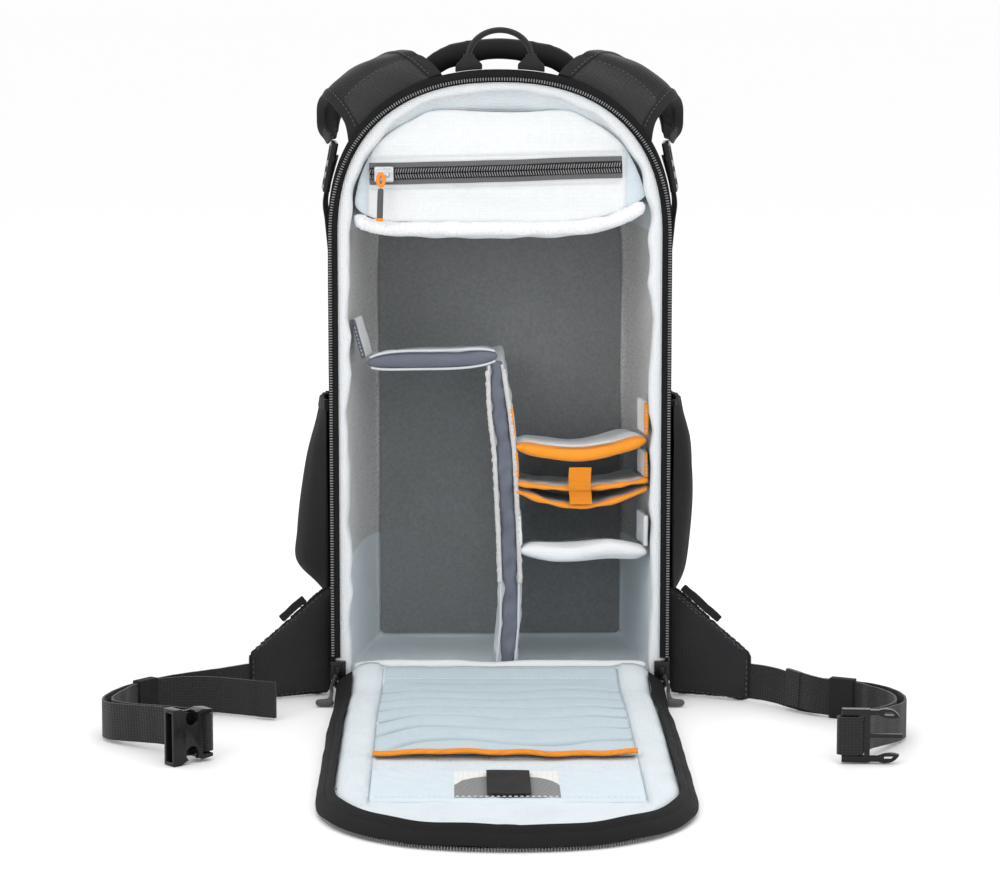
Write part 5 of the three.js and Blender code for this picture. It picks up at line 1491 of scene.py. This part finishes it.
# Side pockets.
# A gusset of nylon on the left and of stretch mesh on the right, gathered by an elastic hem at the mouth.
stretch_mesh = cloth_material("stretch_mesh", (0.012, 0.012, 0.013), 3400, 0.8, roughness=0.8, mottle=0.1)
pocket_nylon = cloth_material("pocket_nylon", (0.013, 0.013, 0.014), 5600, 0.5, roughness=0.8)
POCKET_CLOTH = {"left": (pocket_nylon, "black_nylon"), "right": (stretch_mesh, "black_mesh")}
POCKET_UP = {"left": [0, 0.05, 0.15, 0.3, 0.5, 0.7, 0.87, 1],
             "right": [0, 0.05, 0.15, 0.35, 0.6, 0.8, 0.92, 1]}
POCKET_BULGE = {"left": [0.02, 0.45, 0.97, 0.93, 0.79, 0.62, 0.36, 0.21],
                "right": [0.02, 0.28, 0.48, 0.61, 0.63, 0.54, 0.32, 0.21]}
POCKET_FOOT = 0.072
POCKET_MOUTH = 0.214
POCKET_NEAR = 0.022
POCKET_FAR = 0.086
for side in SIDES:
    control = []
    for up, bulge in zip(POCKET_UP[side], POCKET_BULGE[side]):
        z = POCKET_FOOT + (POCKET_MOUTH - POCKET_FOOT) * up
        distance = POCKET_NEAR + (POCKET_FAR - POCKET_NEAR) * np.arange(9) / 8
        out = np.sin(pi * np.arange(9) / 8) ** 0.7 * bulge * 0.027
        control.append(xyz(-(half_width(distance / BODY_DEPTH, z, 0) + 0.0016 + out), FRONT + distance, z))
    at = patch(control) if side == "left" else mirrored(patch(control))
    pocket = laid_on(f"side_pocket_{side}_cloth", at, (0, 1), (0, 1), (0.150, 0.085), (60, 44), 0.0016)
    rumple(pocket, 0.0010, 0.035, 121, (1, 1, 0.5))
    ready(pocket, *POCKET_CLOTH[side], f"side_pocket_{side}")
    hem = laid_on(f"side_pocket_{side}_hem", at, (0.93, 1.0), (0.0, 1.0), (0.011, 0.085), (8, 80), 0.0032)
    rumple(hem, 0.0006, 0.008, 122, (1, 1, 0.1))
    ready(hem, binding_cloth, "black_nylon")

# Hip wings.
# Padded nylon wings sewn to the foot of the sides, topstitched round their edges, each with a folded tab of
# webbing along its top.
WING_REACH = 0.056
WING_START = float(half_width(0.1, 0.0, 0)) + 0.0018
WING_FACE = np.array([0.402, -0.915, 0.0])


def wing_point(out, up, lift=0.0):
    """A point on the left wing's front face, at a share of its reach and of its height there."""
    top = 0.082 + (0.035 - 0.082) * out
    middle = xyz(-(WING_START + out * WING_REACH), FRONT + 0.015 - 0.0246 * out, top * up)
    return middle + lift * WING_FACE


def settle_wing(points):
    x, y, z = points.T
    out = np.clip((np.abs(x) - WING_START) / WING_REACH, 0, 1)
    up = z / (0.082 - 0.047 * out)
    hem = np.minimum.reduce([ease(1 - up, 0, 0.10), ease(up, 0, 0.09), ease(1 - out, 0, 0.09)])
    face = WING_FACE * np.where(x < 0, 1, -1)[:, None] * [1, 0, 0] + WING_FACE * [0, 1, 0]
    front = y < FRONT + 0.015 - 0.0246 * out
    pull = np.where(front, -1, 1) * (0.0022 * (1 - hem) - 0.0012 * ripple(points, 0.05, 131) * hem)
    moved = points + face * pull[:, None]
    moved[:, 0] -= np.sign(x) * 0.0030 * (1 - ease(out, 0, 0.12))
    return moved


for side, sign in SIDES.items():
    wing = soft_copy(f"wing_{side}", f"hip_wing_{side}", 60, 0.75, 2)
    plumped(wing, 0.0030, 0.0016)
    shape(wing, settle_wing)
    ready(wing, black_nylon, "black_nylon")
    flip = [-sign, 1, 1]
    lines = {
        "top": wing_point(np.linspace(0.08, 0.97, 16), 0.955, 0.0028),
        "top_inner": wing_point(np.linspace(0.08, 0.93, 16), 0.925, 0.0031),
        "hem": wing_point(np.linspace(0.05, 0.95, 16), 0.055, 0.0028),
        "tip": wing_point(0.955, np.linspace(0.08, 0.93, 10), 0.0028)}
    for edge, points in lines.items():
        stitches(f"wing_stitches_{edge}_{side}", points * flip, black_thread, "black_nylon",
                 WING_FACE * flip, pitch=0.0040, length=0.0028, wall=0.0009)
    fold = soft_copy(f"wing_tab_{side}", f"wing_tab_{side}_webbing", 60, 0.6, 3)
    shape(fold, lambda points: points - [0, 0, 0.0008])
    rumple(fold, 0.0003, 0.012, 132)
    tab_webbing = cloth_material(f"tab_webbing_{side}", (0.015, 0.015, 0.016), 4000, 0.8, roughness=0.8)
    ready(fold, tab_webbing, "black_webbing")

# Hip belts.
# Each belt is 25 mm webbing that runs from its wing round to its buckle, about the buckle's bar, and back
# through an elastic keeper to a free end with a folded hem.
WEBBING_LIFT = 0.0018
BUCKLE_LIFT = 4.7
KEEPERS = {"left": ((-248.5, -68.5), (0.63, 0.777)), "right": ((240.5, -66), (-0.9, 0.436))}
SOCKET = (-192, -193.2, pi + 0.7)
PLUG = (232, -198, -0.06)


def in_keeper(side, share, layer):
    """A point on one layer of belt inside a keeper, in millimetres across, back and up."""
    (x, distance), (along_x, along_y) = KEEPERS[side]
    shift = layer * 1.3
    return (x + share * 18 * along_x - shift * along_y, distance + share * 18 * along_y + shift * along_x, 0)


def by_buckle(stand, u, v):
    x, distance, turn = stand
    return (x + u * cos(turn) + v * sin(turn), distance + u * sin(turn) - v * cos(turn), BUCKLE_LIFT)


BELTS = {
    "left": [
        (-171, -6.4, 0), (-181.7, -10, 0), (-200, -25, 0), (-219, -38, 0), (-233, -49, 0),
        in_keeper("left", 0.62, 1), in_keeper("left", -0.62, 1),
        (-265, -93, 0), (-270.5, -111, 0), (-271.6, -126, 0), (-267.5, -138, 0.6), (-257.5, -147.5, 1.4),
        (-244, -156, 2.4), (-228, -167.5, 3.8), (-212, -180.5, BUCKLE_LIFT),
        *[by_buckle(SOCKET, u, v) for u, v in (
            (3.9, 9.6), (3.8, 5.5), (2.7, 2.8), (0, 1.7), (-2.7, 2.8), (-3.8, 5.5), (-3.4, 8.4))],
        (-203.5, -178.4, BUCKLE_LIFT), (-215, -171.2, 4.4), (-230, -161, 3.4), (-246, -149.2, 1.8),
        (-256.4, -141, 1), (-262.6, -133, 0.5), (-265.4, -124, 0), (-264.6, -111, 0), (-260, -94.5, 0),
        in_keeper("left", -0.62, -1), in_keeper("left", 0.62, -1),
        (-230, -55.6, 0), (-216, -52.4, 0), (-198, -55, 0), (-177, -64, 0), (-157, -72.6, 0)],
    "right": [
        (171, -6.4, 0), (181.7, -10, 0), (195, -21.4, 0), (205.5, -34, -0.8), (215, -46.4, -1.2),
        (224, -54.8, -0.8),
        in_keeper("right", 0.62, -1), in_keeper("right", -0.62, -1),
        (262.5, -78.6, 0), (271.6, -92, 0), (276.8, -108, 0), (277.6, -124, 0), (275, -137, 0.5),
        (269, -149.6, 1.2), (260.4, -162.6, 2.2), (252.6, -174.6, 3.4), (246.4, -186.4, BUCKLE_LIFT),
        *[by_buckle(PLUG, u, v) for u, v in (
            (8.6, -1.4), (8.2, 2.5), (7, 4.7), (5, 5.6), (0, 5.8), (-5, 5.6), (-7, 4.7), (-8, 2.5),
            (-7, -0.2), (-4.6, -1.5))],
        (235.2, -193, BUCKLE_LIFT), (239.6, -186.6, BUCKLE_LIFT), (246, -176, 3.6), (254, -163.4, 2.2),
        (262.4, -150.4, 1.2), (268.6, -137, 0.5), (271, -123, 0), (270.2, -109, 0), (264.6, -94, 0),
        (257.4, -83, 0), in_keeper("right", -0.62, 1), in_keeper("right", 0.62, 1),
        (221, -58.6, 1.4), (212, -49.8, 2.4), (203.6, -38.6, 3)]}

twill = cloth_material("keeper_twill", (0.014, 0.014, 0.015), 6000, 0.6, roughness=0.8)


def stood_webbing(name, route, start, length, columns, wall, wave=0.0):
    """Webbing that stands on its edge along a route, from a distance along it, in slight waves."""
    piece = ribbon(name, length, WEBBING, columns, 8)
    shape(piece, lambda points: xyz(start + points[:, 0], wave * np.sin(points[:, 0] * 400), points[:, 1]))
    bend_along(piece, route, UP)
    as_tape(piece, wall)
    return piece


for side, stops in BELTS.items():
    belt_route = route_of([(x / 1000, FRONT + back / 1000, WEBBING_LIFT + lift / 1000 + WEBBING / 2)
                           for x, back, lift in stops])
    belt = stood_webbing(f"hip_belt_{side}", belt_route, 0.0, belt_route[2], 520, 0.0015, 0.00015)
    ready(belt, black_web, "black_webbing", f"belt_{side}")
    hem_fold = stood_webbing(f"hip_belt_{side}_hem", belt_route, belt_route[2] - 0.0142, 0.014, 16, 0.0031)
    ready(hem_fold, black_web, "black_webbing")
    moulded(f"belt_keeper_{side}", f"belt_keeper_{side}_band", twill, "black_webbing", 0.0005, 2)

# Buckle halves, sliders and pulls.
# The socket and the plug are moulded in glossy black plastic. The zip sliders at the foot of the opening are
# cast and painted black, each with a cord and a grey rubber grip.
moulded("buckle_socket", "buckle_socket_body", gloss_plastic, "black_plastic", 0.0007, 3)
moulded("buckle_plug", "buckle_plug_body", gloss_plastic, "black_plastic", 0.0006, 3)
pull_rubber = bound_material("pull_cord", (0.075, 0.075, 0.08), (0.02, 0.02, 0.02), FRONT - 0.0268,
                             roughness=0.5, relief=0.2)
for side in ("left", "right"):
    moulded(f"main_slider_{side}", f"main_slider_{side}_body", gloss_plastic, "black_plastic", 0.0010, 3)
    pull = copy_of(f"main_pull_{side}", f"main_pull_{side}_cord")
    subdivided(pull, 1)
    ready(pull, pull_rubber, "grey_rubber")
